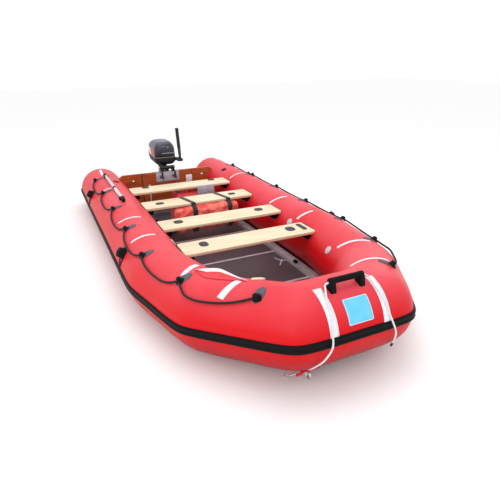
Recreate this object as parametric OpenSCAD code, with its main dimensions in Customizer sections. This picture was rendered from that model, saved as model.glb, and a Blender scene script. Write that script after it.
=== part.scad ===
// Inflatable motor boat with a tiller-steered outboard motor.
// Millimetres. +X points forward, +Y to port and +Z up.
// The origin lies on the waterline, on the centreline, amidships.

/* [Buoyancy tube] */
// Diameter of the buoyancy tube
tube_d = 474; // [400:2:580]
// Distance between the centrelines of the two side tubes
tube_spacing = 1442; // [1200:2:1760]
// Height of the side tubes' centreline above the waterline
tube_z = 214; // [180:1:260]
// Length of full tube behind the transom's inner face
tube_tail = 445; // [350:5:560]
// Length of each stern cone
cone_len = 200; // [120:5:260]
// Diameter at the small end of a stern cone
cone_end_d = 250; // [160:5:340]
// Thickness of a stern cone's end cap
cap_t = 12; // [6:1:20]
// Distance of the first bow mitre ahead of the origin
side_front = 855; // [700:5:1050]

/* [Bow] */
// Length, inward run and rise of the first bow segment
bow_1 = [610, 129, 24]; // [0:1:800]
// Length, inward run and rise of the second bow segment
bow_2 = [465, 331, 77]; // [0:1:800]

/* [Rubbing strake] */
// Height of the rubbing strake
strake_h = 52; // [30:1:70]
// How far the strake stands out of the tube
strake_t = 14; // [8:1:24]
// Angle of the strake below the tube's widest line
strake_drop = 1; // [0:0.5:6]

/* [Bottom and floor] */
// Depth of the keel below the waterline, amidships
keel_depth = 95; // [70:1:120]
// Width and thickness of the keel strip
keel_strip = [40, 8]; // [4:1:60]
// Height of the floor's top above the waterline
floor_z = 20; // [16:1:30]
// Thickness of a floor board
floor_t = 12; // [8:1:16]
// Length of each floor board
board_len = 597; // [480:1:620]
// Distance of the foremost floor joint ahead of the origin
joint_front = 960; // [900:5:1000]
// Gap between the floor and the tube
floor_gap = 10; // [4:1:20]
// Width and thickness of a floor joint's cover strip
joiner = [24, 3]; // [2:1:50]
// Width and height of a side stringer
stringer = [64, 34]; // [20:1:90]
// Gap between a side stringer and the tube
stringer_gap = 26; // [8:1:60]
// Wall of a side stringer
stringer_wall = 4; // [2:0.5:6]

/* [Transom] */
// Distance of the transom's inner face behind the origin
transom_back = 1505; // [1400:5:1600]
// Height of the transom's top above the waterline
transom_z = 435; // [400:1:480]
// Thickness of the transom board
transom_t = 28; // [20:1:36]
// Width of the transom's top edge
transom_top_w = 1060; // [900:10:1100]
// Width and thickness of the doubler on the inner face
doubler = [608, 12]; // [8:1:700]
// Width, height and thickness of the inner motor pad
pad_in = [282, 112, 8]; // [6:1:300]
// Width, height and thickness of the outer motor pad
pad_out = [330, 240, 8]; // [6:1:400]

/* [Thwarts] */
// Distance of each thwart's front edge ahead of the transom's inner face
thwart_front = [655, 1230, 1842, 2408]; // [500:1:2500]
// Width of a thwart board
thwart_w = 235; // [180:1:260]
// Thickness of a thwart board
thwart_t = 24; // [18:1:32]
// Height of the thwarts' top above the waterline
thwart_z = 390; // [370:1:410]
// Gap between a thwart's end and the tube
thwart_gap = 12; // [8:1:20]
// Length of a thwart bracket under the board's end
bracket_len = 62; // [40:1:90]
// Depth of a thwart bracket below the board
bracket_deep = 46; // [30:1:60]

/* [Tube fittings] */
// Distance of the aftmost lifeline patch behind the origin, and the pitch
patch_row = [1455, 577]; // [500:1:1600]
// Angle of the lifeline patches above the tube's widest line
patch_angle = 68; // [60:1:76]
// Diameter of the lifeline
lifeline_d = 14; // [10:1:18]
// Places of the two rowlocks on each side, along the tube
rowlock_x = [-1190, 560]; // [-1300:5:800]
// Diameter of the rowlock's socket
rowlock_bore = 20; // [14:1:26]
// Diameter of an inflation valve
valve_d = 62; // [50:1:80]
// Diameter and length of the bow handle's grip
bow_grip = [36, 220]; // [30:1:260]
// Diameter of the bow ropes
bow_rope_d = 10; // [8:1:14]

/* [Loose gear] */
// Diameter and length of the oar shaft
oar = [34, 1150]; // [28:1:1300]
// Length, width and height of the fuel tank
tank = [240, 400, 310]; // [200:5:480]
// Length, width and height of the bag under the second thwart
bag = [230, 660, 265]; // [120:5:700]
// Diameter and height of the foot pump
pump = [250, 170]; // [100:5:280]

/* [Outboard bracket] */
// Distance of the tilt axis ahead of the transom's inner face
tilt_ahead = 5; // [0:1:12]
// Height of the tilt axis above the transom's top
tilt_up = 47; // [42:1:60]
// Diameter of the tilt tube
tilt_d = 24; // [18:1:28]
// Distance between the inner faces of the two clamp brackets
clamp_gap = 140; // [120:1:170]
// Thickness of a clamp bracket
clamp_t = 14; // [10:1:20]
// Distance of the steering axis behind the tilt axis
steer_back = 132; // [125:1:150]
// Diameter of the steering shaft
steer_d = 36; // [28:1:40]
// Radial clearance of the tilt tube and shafts in their bores
bore_clear = 0.05; // [0.01:0.01:0.1]

/* [Outboard head] */
// Length and width of the cowl
cowl = [420, 252]; // [240:2:460]
// Height of the cowl above its seam
cowl_h = 176; // [150:2:210]
// Wall of the cowl
cowl_wall = 5; // [3:1:8]
// Height of the lower pan
pan_h = 88; // [80:1:100]
// Diameter and length of the tiller's grip
grip = [42, 230]; // [34:1:260]
// Length of the tiller arm from its pivot to the grip
tiller_arm_len = 140; // [110:1:160]
// Lean of the folded tiller behind the vertical
tiller_lean = 10; // [5:1:20]
// Place of the tiller pivot: ahead of the pan's front, to port, above the pan's bottom
tiller_pivot = [22, 165, 50]; // [10:1:190]

/* [Outboard leg] */
// Depth of the anti-ventilation plate below the waterline
plate_depth = 122; // [110:1:140]
// Width and thickness of the anti-ventilation plate
plate = [170, 6]; // [5:1:190]
// Depth of the propeller axis below the anti-ventilation plate
prop_drop = 124; // [118:1:140]
// Diameter of the propeller
prop_d = 224; // [200:2:232]
// Number of propeller blades
blade_count = 3; // [3:1:4]
// Twist of a propeller blade from the disc's plane
blade_pitch = 24; // [15:1:30]
// Depth of the skeg below the propeller axis
skeg_drop = 165; // [140:5:180]

/* [Hidden] */
$fn = 64;

red = "#e0262c";
black = "#1c1c1f";
metal = "#b9b4ba";
far = 5000;
fine = 240;
r = tube_d / 2;
half = tube_spacing / 2;

// ---- The line of the buoyancy tube, from the starboard stern round the bow

transom_x = -transom_back;
stern_x = transom_x - tube_tail;
bend_1 = [side_front, -half, tube_z];
bend_2 = bend_1 + [bow_1[0], bow_1[1], bow_1[2]];
bend_3 = bend_2 + [bow_2[0], bow_2[1], bow_2[2]];
function port_of(p) = [p[0], -p[1], p[2]];
starboard_line = [[stern_x, -half, tube_z], bend_1, bend_2, bend_3];
line = concat(starboard_line, [for (i = [3:-1:0]) port_of(starboard_line[i])]);

function unit(v) = v / norm(v);
function heading(i) = unit(line[i + 1] - line[i]);
function run(i) = norm(line[i + 1] - line[i]);
function mitre(i) = i == 0 ? heading(0) : i == 7 ? heading(6) : unit(heading(i - 1) + heading(i));
function outward(d) = unit(cross(d, [0, 0, 1]));
function upward(d) = cross(outward(d), d);
// Angle at which a line drawn along one segment carries on along the next
function carried(a, i) = let (d = heading(i - 1), e = heading(i), m = mitre(i),
    p = cos(a) * outward(d) + sin(a) * upward(d), q = p - (p * m) / (d * m) * d)
    atan2(q * upward(e), q * outward(e));

// Half width of the space between the side tubes at a height
function inner_half(z) = half - sqrt(r * r - (z - tube_z) * (z - tube_z));

module facing(p, d) translate(p) rotate([0, -asin(d[2]), atan2(d[1], d[0])]) children();
module ahead_of(p, d) facing(p, d) translate([0, -far / 2, -far / 2]) cube(far);
module behind(p, d) facing(p, d) translate([-far, -far / 2, -far / 2]) cube(far);
module rod(p, d, diameter, length) facing(p, d) rotate([0, 90, 0])
    cylinder(h = length, d = diameter, $fn = fine);

// Puts its children on the tube's skin: X along the tube, Z out of it
module on_tube(i, s, a) facing(line[i] + s * heading(i), heading(i))
    rotate([90 - a, 0, 0]) translate([0, 0, r]) children();

// Full-length round of one segment, before its mitres are cut
module round_of(i, extra = 0) rod(line[i] - (i > 0 ? r : 0) * heading(i), heading(i), tube_d + extra,
    run(i) + (i > 0 ? r : 0) + (i < 6 ? r : 0));

module mitred(i, gap = 0) intersection() {
    children();
    ahead_of(line[i] + gap / 2 * mitre(i), mitre(i));
    behind(line[i + 1] - gap / 2 * mitre(i + 1), mitre(i + 1));
}

module tube_piece(i) mitred(i) round_of(i);
module all_tubes() for (i = [0:6]) tube_piece(i);

module both_sides() {
    children();
    mirror([0, 1, 0]) children();
}

module side_tubes() color(red) both_sides() tube_piece(0);
module bow_tubes_after() color(red) both_sides() tube_piece(1);
module bow_tubes_fore() color(red) both_sides() tube_piece(2);
module bow_tube_nose() color(red) tube_piece(3);

module stern_cones() color(red) both_sides() translate([stern_x, half, tube_z]) rotate([0, -90, 0])
    cylinder(h = cone_len, d1 = tube_d, d2 = cone_end_d, $fn = fine);

module stern_caps() color(black) both_sides() translate([stern_x - cone_len, half, tube_z]) rotate([0, -90, 0])
    cylinder(h = cap_t, d = cone_end_d, $fn = fine);

// ---- Rubbing strake

strake_a0 = -strake_drop;
strake_a1 = carried(strake_a0, 1);
strake_a2 = carried(strake_a1, 2);
strake_a3 = carried(strake_a2, 3);
strake_angle = [strake_a0, strake_a1, strake_a2, strake_a3, strake_a2, strake_a1, strake_a0];

strake_gap = 1;
module strake_piece(i) mitred(i, strake_gap) difference() {
    on_tube(i, -tube_d, strake_angle[i]) translate([i == 0 ? tube_d : 0, -strake_h / 2, -strake_t])
        cube([run(i) + (i % 6 == 0 ? 1 : 2) * tube_d, strake_h, 2 * strake_t]);
    round_of(i);
}
module rubbing_strake() color(black) for (i = [0:6]) strake_piece(i);

// ---- Bottom, keel strip and floor

floor_under = floor_z - floor_t;
floor_half = inner_half(floor_z) - floor_gap;
bottom_angle = 70;
keel_half = keel_strip[0] / 2;
bow_mid = bend_2 + 0.53 * (bend_3 - bend_2);

// Where the bottom's edge meets the tube's underside, for a point on the tube's line
function bilge(p, splay) = [-p[1] - r * cos(bottom_angle) * splay, p[2] - r * sin(bottom_angle)];
// Half of a cross-section of the bottom: keel, bilge and top edge
function bottom_section(b, keel, top) = [[-b[0], b[1]], [-keel_half, keel], [keel_half, keel], b,
    [b[0], max(b[1] + 5, top)], [-b[0], max(b[1] + 5, top)]];

module across(x, length) translate([x, 0, 0]) rotate([90, 0, 90]) linear_extrude(length) children();

module bottom_slice(x, b, keel) across(x, 1) polygon(bottom_section(b, keel, floor_under));

module floor_plan() polygon([
    [transom_x, -floor_half], [side_front, -floor_half], [bend_2[0], -bow_board_mid],
    [bow_board_x, -bow_board_end], [bow_board_x, bow_board_end], [bend_2[0], bow_board_mid],
    [side_front, floor_half], [transom_x, floor_half]]);

bow_board_x = bend_2[0] + 0.5 * bow_2[0];
bow_board_mid = floor_half - bow_1[1] + 5;
bow_board_end = bow_board_mid - 0.8 * bow_2[1];
stem_x = bend_3[0] + 60;
stem_z = bend_3[2] - sqrt(r * r - 60 * 60);

module hull_bottom() color("#b01c22") difference() {
    union() {
        across(transom_x, side_front - transom_x)
            polygon(bottom_section(bilge(bend_1, 1), -keel_depth, floor_under));
        hull() {
            bottom_slice(side_front - 1, bilge(bend_1, 1), -keel_depth);
            bottom_slice(bend_2[0], bilge(bend_2, 1.05), -0.55 * keel_depth);
        }
        hull() {
            bottom_slice(bend_2[0], bilge(bend_2, 1.05), -0.55 * keel_depth);
            bottom_slice(bow_mid[0], bilge(bow_mid, 1.22), -0.16 * keel_depth);
        }
        hull() {
            bottom_slice(bow_mid[0], bilge(bow_mid, 1.22), -0.16 * keel_depth);
            bottom_slice(stem_x, [120, stem_z + 4], stem_z - 12);
        }
    }
    all_tubes();
    translate([0, 0, floor_under]) linear_extrude(far / 10) floor_plan();
}

keel_line = [[transom_x, -keel_depth], [side_front, -keel_depth], [bend_2[0] + 1, -0.55 * keel_depth],
    [bow_mid[0] + 1, -0.16 * keel_depth]];
module keel_strip_part() color(black) translate([0, keel_half, 0]) rotate([90, 0, 0])
    linear_extrude(keel_strip[0])
    polygon(concat(keel_line, [for (i = [3:-1:0]) keel_line[i] - [0, keel_strip[1]]]));

joint_x = [for (i = [3:-1:0]) joint_front - i * board_len];
board_from = concat([transom_x], joint_x);
board_to = concat(joint_x, [bow_board_x]);
web = 3;

module floor_boards() color("#57474b") for (i = [0:4]) intersection() {
    translate([0, 0, floor_under]) linear_extrude(floor_t) floor_plan();
    translate([board_from[i] + (i > 0 ? web / 2 : 0), -half, 0])
        cube([board_to[i] - board_from[i] - (i > 0 && i < 4 ? web : web / 2), tube_spacing, far]);
}

stringer_y = inner_half(floor_z + stringer[1]) - stringer[0] - stringer_gap;
joiner_half = stringer_y;
module floor_joiners() color(metal) for (x = joint_x) {
    translate([x - joiner[0] / 2, -joiner_half + 2, floor_z]) cube([joiner[0], 2 * joiner_half - 4, joiner[1]]);
    translate([x - web / 2, -joiner_half + 2, floor_under]) cube([web, 2 * joiner_half - 4, floor_t]);
}

stringer_x = [transom_x + 160, side_front + 235];
module stringers() color(metal) both_sides() difference() {
    translate([stringer_x[0], stringer_y, floor_z])
        cube([stringer_x[1] - stringer_x[0], stringer[0], stringer[1]]);
    translate([stringer_x[0] - 1, stringer_y + stringer_wall, floor_z - 1])
        cube([stringer_x[1] - stringer_x[0] + 2, stringer[0] - 2 * stringer_wall, stringer[1] - stringer_wall + 1]);
    round_of(5, 4);
}

// ---- Transom and motor pads

transom_low = bilge(bend_1, 1) + [18, 2.5];
transom_outline = [[transom_top_w / 2, transom_z], [transom_top_w / 2 + 60, transom_z - 40], transom_low,
    [keel_half, -keel_depth], [-keel_half, -keel_depth], [-transom_low[0], transom_low[1]],
    [-transom_top_w / 2 - 60, transom_z - 40], [-transom_top_w / 2, transom_z]];
module transom() color("#a2431b") difference() {
    across(transom_x - transom_t, transom_t) polygon(transom_outline);
    both_sides() round_of(0);
}
module transom_doubler() color("#8f3a17") translate([transom_x, -doubler[0] / 2, floor_z])
    cube([doubler[1], doubler[0], transom_z - floor_z - 0.5]);
module motor_pads() color("#c9c7cf") {
    translate([transom_x + doubler[1], -pad_in[0] / 2, transom_z - pad_in[1]]) cube([pad_in[2], pad_in[0], pad_in[1]]);
    translate([transom_x - transom_t - pad_out[2], -pad_out[0] / 2, transom_z - pad_out[1]])
        cube([pad_out[2], pad_out[0], pad_out[1]]);
}

// ---- Thwarts

thwart_half = inner_half(thwart_z) - thwart_gap;
corner = 14;
scribe = 2;
function thwart_x(i) = transom_x + thwart_front[i] - thwart_w;
module thwart(i) difference() {
    translate([thwart_x(i), 0, thwart_z - thwart_t]) linear_extrude(thwart_t)
        polygon([[0, -thwart_half + corner], [corner, -thwart_half], [thwart_w - corner, -thwart_half],
            [thwart_w, -thwart_half + corner], [thwart_w, thwart_half - corner], [thwart_w - corner, thwart_half],
            [corner, thwart_half], [0, thwart_half - corner]]);
    for (k = i == 3 ? [0, 1, 5, 6] : [0, 6]) round_of(k, 2 * scribe);
}
module thwarts() color("#ecd9b2") for (i = [0:3]) thwart(i);

bracket_in = 20;
bracket_end = inner_half(thwart_z - thwart_t);
module thwart_brackets() color(black) both_sides() for (i = [0:3]) difference() {
    translate([thwart_x(i) + bracket_in, bracket_end - bracket_len, thwart_z - thwart_t - bracket_deep])
        cube([thwart_w - 2 * bracket_in, bracket_len + 60, bracket_deep + thwart_t - 3]);
    thwart(i);
    for (k = i == 3 ? [5, 6] : [6]) round_of(k);
}

// ---- Fittings on the tube: lifeline patches, rowlocks, valves

patch_x0 = -patch_row[0];
function patch_x(i) = patch_x0 + i * patch_row[1];
// Segment and distance along it of each lifeline patch
patches = [[0, patch_x(0) - stern_x], [0, patch_x(1) - stern_x], [0, patch_x(2) - stern_x],
    [0, patch_x(3) - stern_x], [0, patch_x(4) - stern_x], [1, 514], [2, 428]];
pad_l = 120;
pad_w = 64;
pad_rise = 5;
module oval(l, w) polygon([for (a = [0:20:340]) [w / 2 * cos(a), l / 2 * sin(a)]]);
module lifeline_patch(i, s) difference() {
    on_tube(i, s, patch_angle) {
        translate([0, 0, -14]) linear_extrude(14 + pad_rise) oval(pad_l, pad_w);
        translate([0, -0.22 * pad_l, 0]) cylinder(h = 34, d1 = 58, d2 = 30);
    }
    round_of(i);
}
module lifeline_patches() color("#5a555f") both_sides() for (p = patches) lifeline_patch(p[0], p[1]);

rowlock_angle = 33;
rowlock_h = 46;
module rowlock(s) difference() {
    on_tube(0, s, rowlock_angle) {
        translate([0, 0, -16]) linear_extrude(24)
            polygon([[-44, 40], [44, 40], [56, 0], [14, -104], [-14, -104], [-56, 0]]);
        cylinder(h = rowlock_h, d1 = 84, d2 = 64);
    }
    on_tube(0, s, rowlock_angle) translate([0, 0, 10]) cylinder(h = rowlock_h, d = rowlock_bore);
    round_of(0);
}
module rowlocks() color(black) both_sides() for (x = rowlock_x) rowlock(x - stern_x);

module valve(i, s, a) difference() {
    on_tube(i, s, a) translate([0, 0, -6]) cylinder(h = 12, d = valve_d);
    round_of(i);
}
module valves() color(metal) both_sides() {
    valve(0, 519 - stern_x, 146);
    valve(0, -1261 - stern_x, 110);
    valve(1, 420, 146);
}

// ---- Lifelines: swags of rope between the patches, then round the bow

// Each point: segment, distance along it, angle above the tube's widest line
rope_out = 11;
function over_tube(i, s, a) = line[i] + s * heading(i)
    + (r + rope_out) * (cos(a) * outward(heading(i)) + sin(a) * upward(heading(i)));
swag = [[0, 60], [30, 57.5], [90, 52], [170, 48], [290, 46], [410, 47], [490, 50.5], [547, 56.5]];
bow_swag = [[0, patch_x(4) - stern_x, 60], [1, 20, 57], [1, 80, 52], [1, 165, 48], [1, 270, 46], [1, 375, 46.5],
    [1, 450, 51], [1, 488, 56], [1, 514, 59.5], [1, 545, 56.5], [1, 600, 51.5], [1, 655, 48.5], [2, 55, 46],
    [2, 135, 45.5], [2, 225, 47], [2, 305, 50.5], [2, 365, 55], [2, 400, 58.5], [2, 428, 61.5]];
lifeline_route = concat([for (i = [0:3]) for (p = swag) over_tube(0, patch_x(i) + p[0] - stern_x, p[1])],
    [for (p = bow_swag) over_tube(p[0], p[1], p[2])]);

// Sweeps a many-sided cord along a route; its ends are flat
function route_tangent(p, i) = unit(p[min(i + 1, len(p) - 1)] - p[max(i - 1, 0)]);
module cord(p, diameter, sides) {
    rings = [for (i = [0:len(p) - 1]) let (t = route_tangent(p, i), u = unit(cross(t, [0.1, 0.2, 1])), v = cross(t, u))
        for (k = [0:sides - 1]) p[i] + diameter / 2 * (cos(360 * k / sides) * u + sin(360 * k / sides) * v)];
    n = len(p);
    skin = [for (i = [0:n - 2]) for (k = [0:sides - 1]) let (a = i * sides + k, b = i * sides + (k + 1) % sides)
        each [[a, b, b + sides], [a, b + sides, a + sides]]];
    polyhedron(rings, concat([[for (k = [sides - 1:-1:0]) k]], skin, [[for (k = [0:sides - 1]) (n - 1) * sides + k]]));
}
// Fills a route with points on a smooth curve through its own
function smooth(p, n) = [for (i = [0:len(p) - 2]) let (a = p[max(i - 1, 0)], b = p[i], c = p[i + 1],
    d = p[min(i + 2, len(p) - 1)]) for (k = [0:n - 1]) let (t = k / n)
    b + 0.5 * (t * (c - a) + t * t * (2 * a - 5 * b + 4 * c - d) + t * t * t * (3 * b - a - 3 * c + d)), p[len(p) - 1]];

module lifeline_starboard() color(black) cord(smooth(lifeline_route, 2), lifeline_d, 8);
module lifeline_port() color(black)
    cord(smooth([for (i = [len(lifeline_route) - 1:-1:0]) port_of(lifeline_route[i])], 2), lifeline_d, 8);

// ---- Bow handle, bow ropes and tow ring

handle_x = bend_3[0] + 70;
handle_z = bend_3[2] + r + 38;
post_w = 30;
module bow_handle() color(black) difference() {
    union() {
        translate([handle_x, -bow_grip[1] / 2, handle_z]) rotate([-90, 0, 0]) cylinder(h = bow_grip[1], d = bow_grip[0]);
        for (s = [-1, 1]) translate([handle_x - 22, s * (bow_grip[1] / 2 - 16) - post_w / 2, bend_3[2]])
            cube([44, post_w, handle_z - bend_3[2]]);
    }
    round_of(3);
}

bow_rope_left = [[2000, -112, 585], [2000, -132, 575], [2020, -145, 565], [2060, -160, 530], [2105, -170, 495],
    [2145, -180, 435], [2170, -188, 380], [2190, -198, 335], [2193, -215, 300], [2172, -240, 240],
    [2130, -262, 185], [2090, -262, 145], [2052, -250, 115]];
bow_rope_right = [[2000, 112, 585], [2000, 132, 575], [2020, 140, 565], [2055, 150, 535], [2100, 162, 500],
    [2145, 175, 435], [2172, 188, 380], [2190, 200, 335], [2192, 212, 300], [2182, 222, 255], [2160, 232, 205]];
module bow_rope_starboard() color("white") cord(smooth(bow_rope_left, 3), bow_rope_d, 8);
module bow_rope_port() color("white") cord(smooth(bow_rope_right, 3), bow_rope_d, 8);

ring_a = -60;
module tow_ring() color(metal) {
    difference() {
        on_tube(3, 10, ring_a) translate([0, 0, -8]) cylinder(h = 16, d = 90);
        round_of(3);
    }
    on_tube(3, 10, ring_a) translate([0, 0, 28]) rotate([0, 90, 0]) rotate_extrude()
        translate([22, 0]) circle(d = 10, $fn = 24);
}

// ---- Gear: oar shaft on the starboard tube, fuel tank and bag between the thwarts

oar_x = -1535;
oar_z = tube_z + r + oar[0] / 2 + 1;
module oar_rod() translate([oar_x, -half, oar_z]) rotate([0, 90, 0]) cylinder(h = oar[1], d = oar[0]);
module oar_shaft() color(metal) difference() {
    oar_rod();
    translate([oar_x - 1, -half, oar_z]) rotate([0, 90, 0]) cylinder(h = 400, d = oar[0] - 6);
}
module oar_clips() color(black) for (x = [oar_x + 90, oar_x + oar[1] - 130]) difference() {
    translate([x, -half - oar[0] / 2 - 7, oar_z - oar[0]]) cube([40, oar[0] + 14, 1.25 * oar[0]]);
    oar_rod();
    round_of(0);
}

tank_x = thwart_x(0) - 10;
tank_y = 110;
module fuel_tank() color("#d4211f") {
    translate([tank_x, tank_y - tank[1] / 2, floor_z]) cube(tank);
    translate([tank_x + tank[0] / 2, tank_y, floor_z + tank[2]]) cylinder(h = 24, d = 70);
}

bag_x = thwart_x(1) + thwart_w + 60 - bag[0];
bag_y = 45;
module seat_bag() color("#e2443c") translate([bag_x, bag_y - bag[1] / 2, thwart_z - thwart_t - bag[2]]) cube(bag);

pump_at = [-620, -310];
module foot_pump() color(black) translate([pump_at[0], pump_at[1], floor_z]) {
    cylinder(h = 16, d = pump[0] + 20);
    translate([0, 0, 16]) cylinder(h = pump[1] - 30, d = pump[0]);
    translate([0, 0, pump[1] - 14]) cylinder(h = 14, d = pump[0] + 20);
}

// ---- Outboard: clamp bracket on the transom

tilt_x = transom_x + tilt_ahead;
tilt_z = transom_z + tilt_up;
front_face = transom_x + doubler[1] + pad_in[2];
back_face = transom_x - transom_t - pad_out[2];
steer_x = tilt_x - steer_back;
seat_h = 34;
throat = 42;
leg_front = 26;
leg_back = 32;
leg_front_z = transom_z - 74;
leg_back_z = transom_z - 235;
head_r = 24;
screw_d = 16;
screw_z = transom_z - 52;

module clamp_profile() {
    polygon([[back_face - leg_back, leg_back_z], [back_face, leg_back_z], [back_face, transom_z],
        [front_face + throat, transom_z], [front_face + throat, leg_front_z],
        [front_face + throat + leg_front, leg_front_z], [front_face + throat + leg_front, transom_z + 4],
        [front_face + throat, transom_z + 18], [tilt_x + 24, transom_z + 30],
        [back_face - leg_back, transom_z + seat_h]]);
    translate([tilt_x, tilt_z]) circle(r = head_r);
}
module clamp_bracket() color(black) {
    difference() {
        for (y = [-clamp_gap / 2 - clamp_t, clamp_gap / 2]) {
            translate([0, y + clamp_t, 0]) rotate([90, 0, 0]) linear_extrude(clamp_t) clamp_profile();
            translate([front_face + throat, y + clamp_t / 2, screw_z]) rotate([0, 90, 0])
                cylinder(h = leg_front, d = 2 * screw_d);
        }
        for (s = [-1, 1]) translate([front_face + throat - 1, s * (clamp_gap + clamp_t) / 2, screw_z])
            rotate([0, 90, 0]) cylinder(h = leg_front + 2, d = screw_d);
    }
    translate([tilt_x, -clamp_gap / 2 - 2, tilt_z]) rotate([-90, 0, 0]) cylinder(h = clamp_gap + 4, d = tilt_d);
    translate([back_face - leg_back + 4, -clamp_gap / 2 - 2, leg_back_z + 20]) cube([14, clamp_gap + 4, 26]);
}

module clamp_screws() color("#3a3a3e") for (s = [-1, 1]) translate([front_face, s * (clamp_gap + clamp_t) / 2, screw_z]) {
    rotate([0, 90, 0]) cylinder(h = 7, d = 44);
    translate([6, 0, 0]) rotate([0, 90, 0]) cylinder(h = throat + leg_front + 14, d = screw_d);
    translate([throat + leg_front + 14, 0, -68]) cylinder(h = 76, d = 12);
}

// ---- Outboard: swivel bracket, carried by the tilt tube

swivel_r = 30;
swivel_top = tilt_z - 4;
swivel_bottom = transom_z - 225;
sleeve_half = clamp_gap / 2 - 5;
module swivel_bracket() color("#26262a") difference() {
    union() {
        translate([tilt_x, -sleeve_half, tilt_z]) rotate([-90, 0, 0]) cylinder(h = 2 * sleeve_half, r = head_r - 2);
        translate([steer_x, 0, swivel_bottom]) cylinder(h = swivel_top - swivel_bottom, r = swivel_r);
        translate([steer_x, -24, transom_z + 6]) cube([steer_back, 48, tilt_z - transom_z - 6]);
        translate([steer_x, -12, swivel_bottom + 60]) cube([steer_back - tilt_ahead - transom_t - pad_out[2] - 12,
            24, transom_z - swivel_bottom - 50]);
    }
    translate([tilt_x, -sleeve_half - 1, tilt_z]) rotate([-90, 0, 0])
        cylinder(h = 2 * sleeve_half + 2, d = tilt_d + 2 * bore_clear);
    translate([steer_x, 0, swivel_bottom - 1]) cylinder(h = tilt_z - swivel_bottom + 20, d = steer_d + 2 * bore_clear);
}

// ---- Outboard: the steered unit

pan_z = tilt_z + 30;
seam_z = pan_z + pan_h;
pan_front = tilt_x + 6;
yoke_gap = 6;
shaft_bottom = swivel_bottom - yoke_gap - 40;
module steering_shaft() color(metal) translate([steer_x, 0, shaft_bottom]) cylinder(h = pan_z - shaft_bottom, d = steer_d);

// Plan of the head: straight sides, corners cut back
function head_plan(l, w, c) = [[0, -w / 2 + c], [-c, -w / 2], [-l + 1.6 * c, -w / 2], [-l, -w / 2 + 1.6 * c],
    [-l, w / 2 - 1.6 * c], [-l + 1.6 * c, w / 2], [-c, w / 2], [0, w / 2 - c]];

module lower_pan() color(black) intersection() {
    translate([pan_front, 0, pan_z]) linear_extrude(pan_h) polygon(head_plan(cowl[0], cowl[1] - 6, 34));
    translate([pan_front, cowl[1] / 2, 0]) rotate([90, 0, 0]) linear_extrude(cowl[1]) polygon([[1, pan_z + 34],
        [-24, pan_z], [-230, pan_z], [-cowl[0] + 30, pan_z + 40], [-cowl[0] - 1, pan_z + pan_h], [1, pan_z + pan_h]]);
}

module cowl_body(w) intersection() {
    translate([pan_front - w, 0, seam_z]) linear_extrude(cowl_h - w)
        polygon(head_plan(cowl[0] - 2 * w, cowl[1] - 2 * w, 40));
    translate([0, cowl[1] / 2, 0]) rotate([90, 0, 0]) linear_extrude(cowl[1]) polygon([
        [pan_front + 1 - w, seam_z], [pan_front - 4 - w, seam_z + 90], [pan_front - 30 - w, seam_z + cowl_h - 14 - w],
        [pan_front - 60 - w, seam_z + cowl_h - w], [pan_front - cowl[0] + 110 + w, seam_z + cowl_h - w],
        [pan_front - cowl[0] + 26 + w, seam_z + cowl_h - 44 - w], [pan_front - cowl[0] - 1 + w, seam_z]]);
    across(pan_front - cowl[0] - 1, cowl[0] + 2) polygon([[-cowl[1] / 2 - 1 + w, seam_z],
        [cowl[1] / 2 + 1 - w, seam_z], [cowl[1] / 2 - 8 - w, seam_z + 110], [cowl[1] / 2 - 44 - w, seam_z + cowl_h - w],
        [-cowl[1] / 2 + 44 + w, seam_z + cowl_h - w], [-cowl[1] / 2 + 8 + w, seam_z + 110]]);
}
module cowl_cover() color(black) difference() {
    cowl_body(0);
    cowl_body(cowl_wall);
}

module engine_block() color("#5c5f63") translate([steer_x - 220, -80, seam_z]) cube([300, 160, 128]);

leg_x = steer_x - 44;
leg_l = 118;
plate_z = -plate_depth;
leg_top_w = 78;
module leg_section(front, l, w) polygon([[front, -0.3 * w], [front, 0.3 * w], [front - 0.3 * l, w / 2],
    [front - 0.7 * l, w / 2], [front - l, 0.16 * w], [front - l, -0.16 * w], [front - 0.7 * l, -w / 2],
    [front - 0.3 * l, -w / 2]]);
module midsection() color(black) difference() {
    union() {
        translate([0, 0, plate_z + plate[1] / 2]) linear_extrude(pan_z - plate_z - plate[1] / 2)
            leg_section(leg_x, leg_l, leg_top_w);
        translate([0, 0, shaft_bottom]) linear_extrude(40) polygon([[leg_x - 20, -30], [leg_x - 20, 30],
            [steer_x + 24, 26], [steer_x + 34, 0], [steer_x + 24, -26]]);
        translate([leg_x - 20, -30, swivel_top + yoke_gap]) cube([steer_x - leg_x + 50, 60, pan_z - swivel_top - yoke_gap]);
    }
    translate([steer_x, 0, shaft_bottom - 1]) cylinder(h = far, d = steer_d);
}

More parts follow.
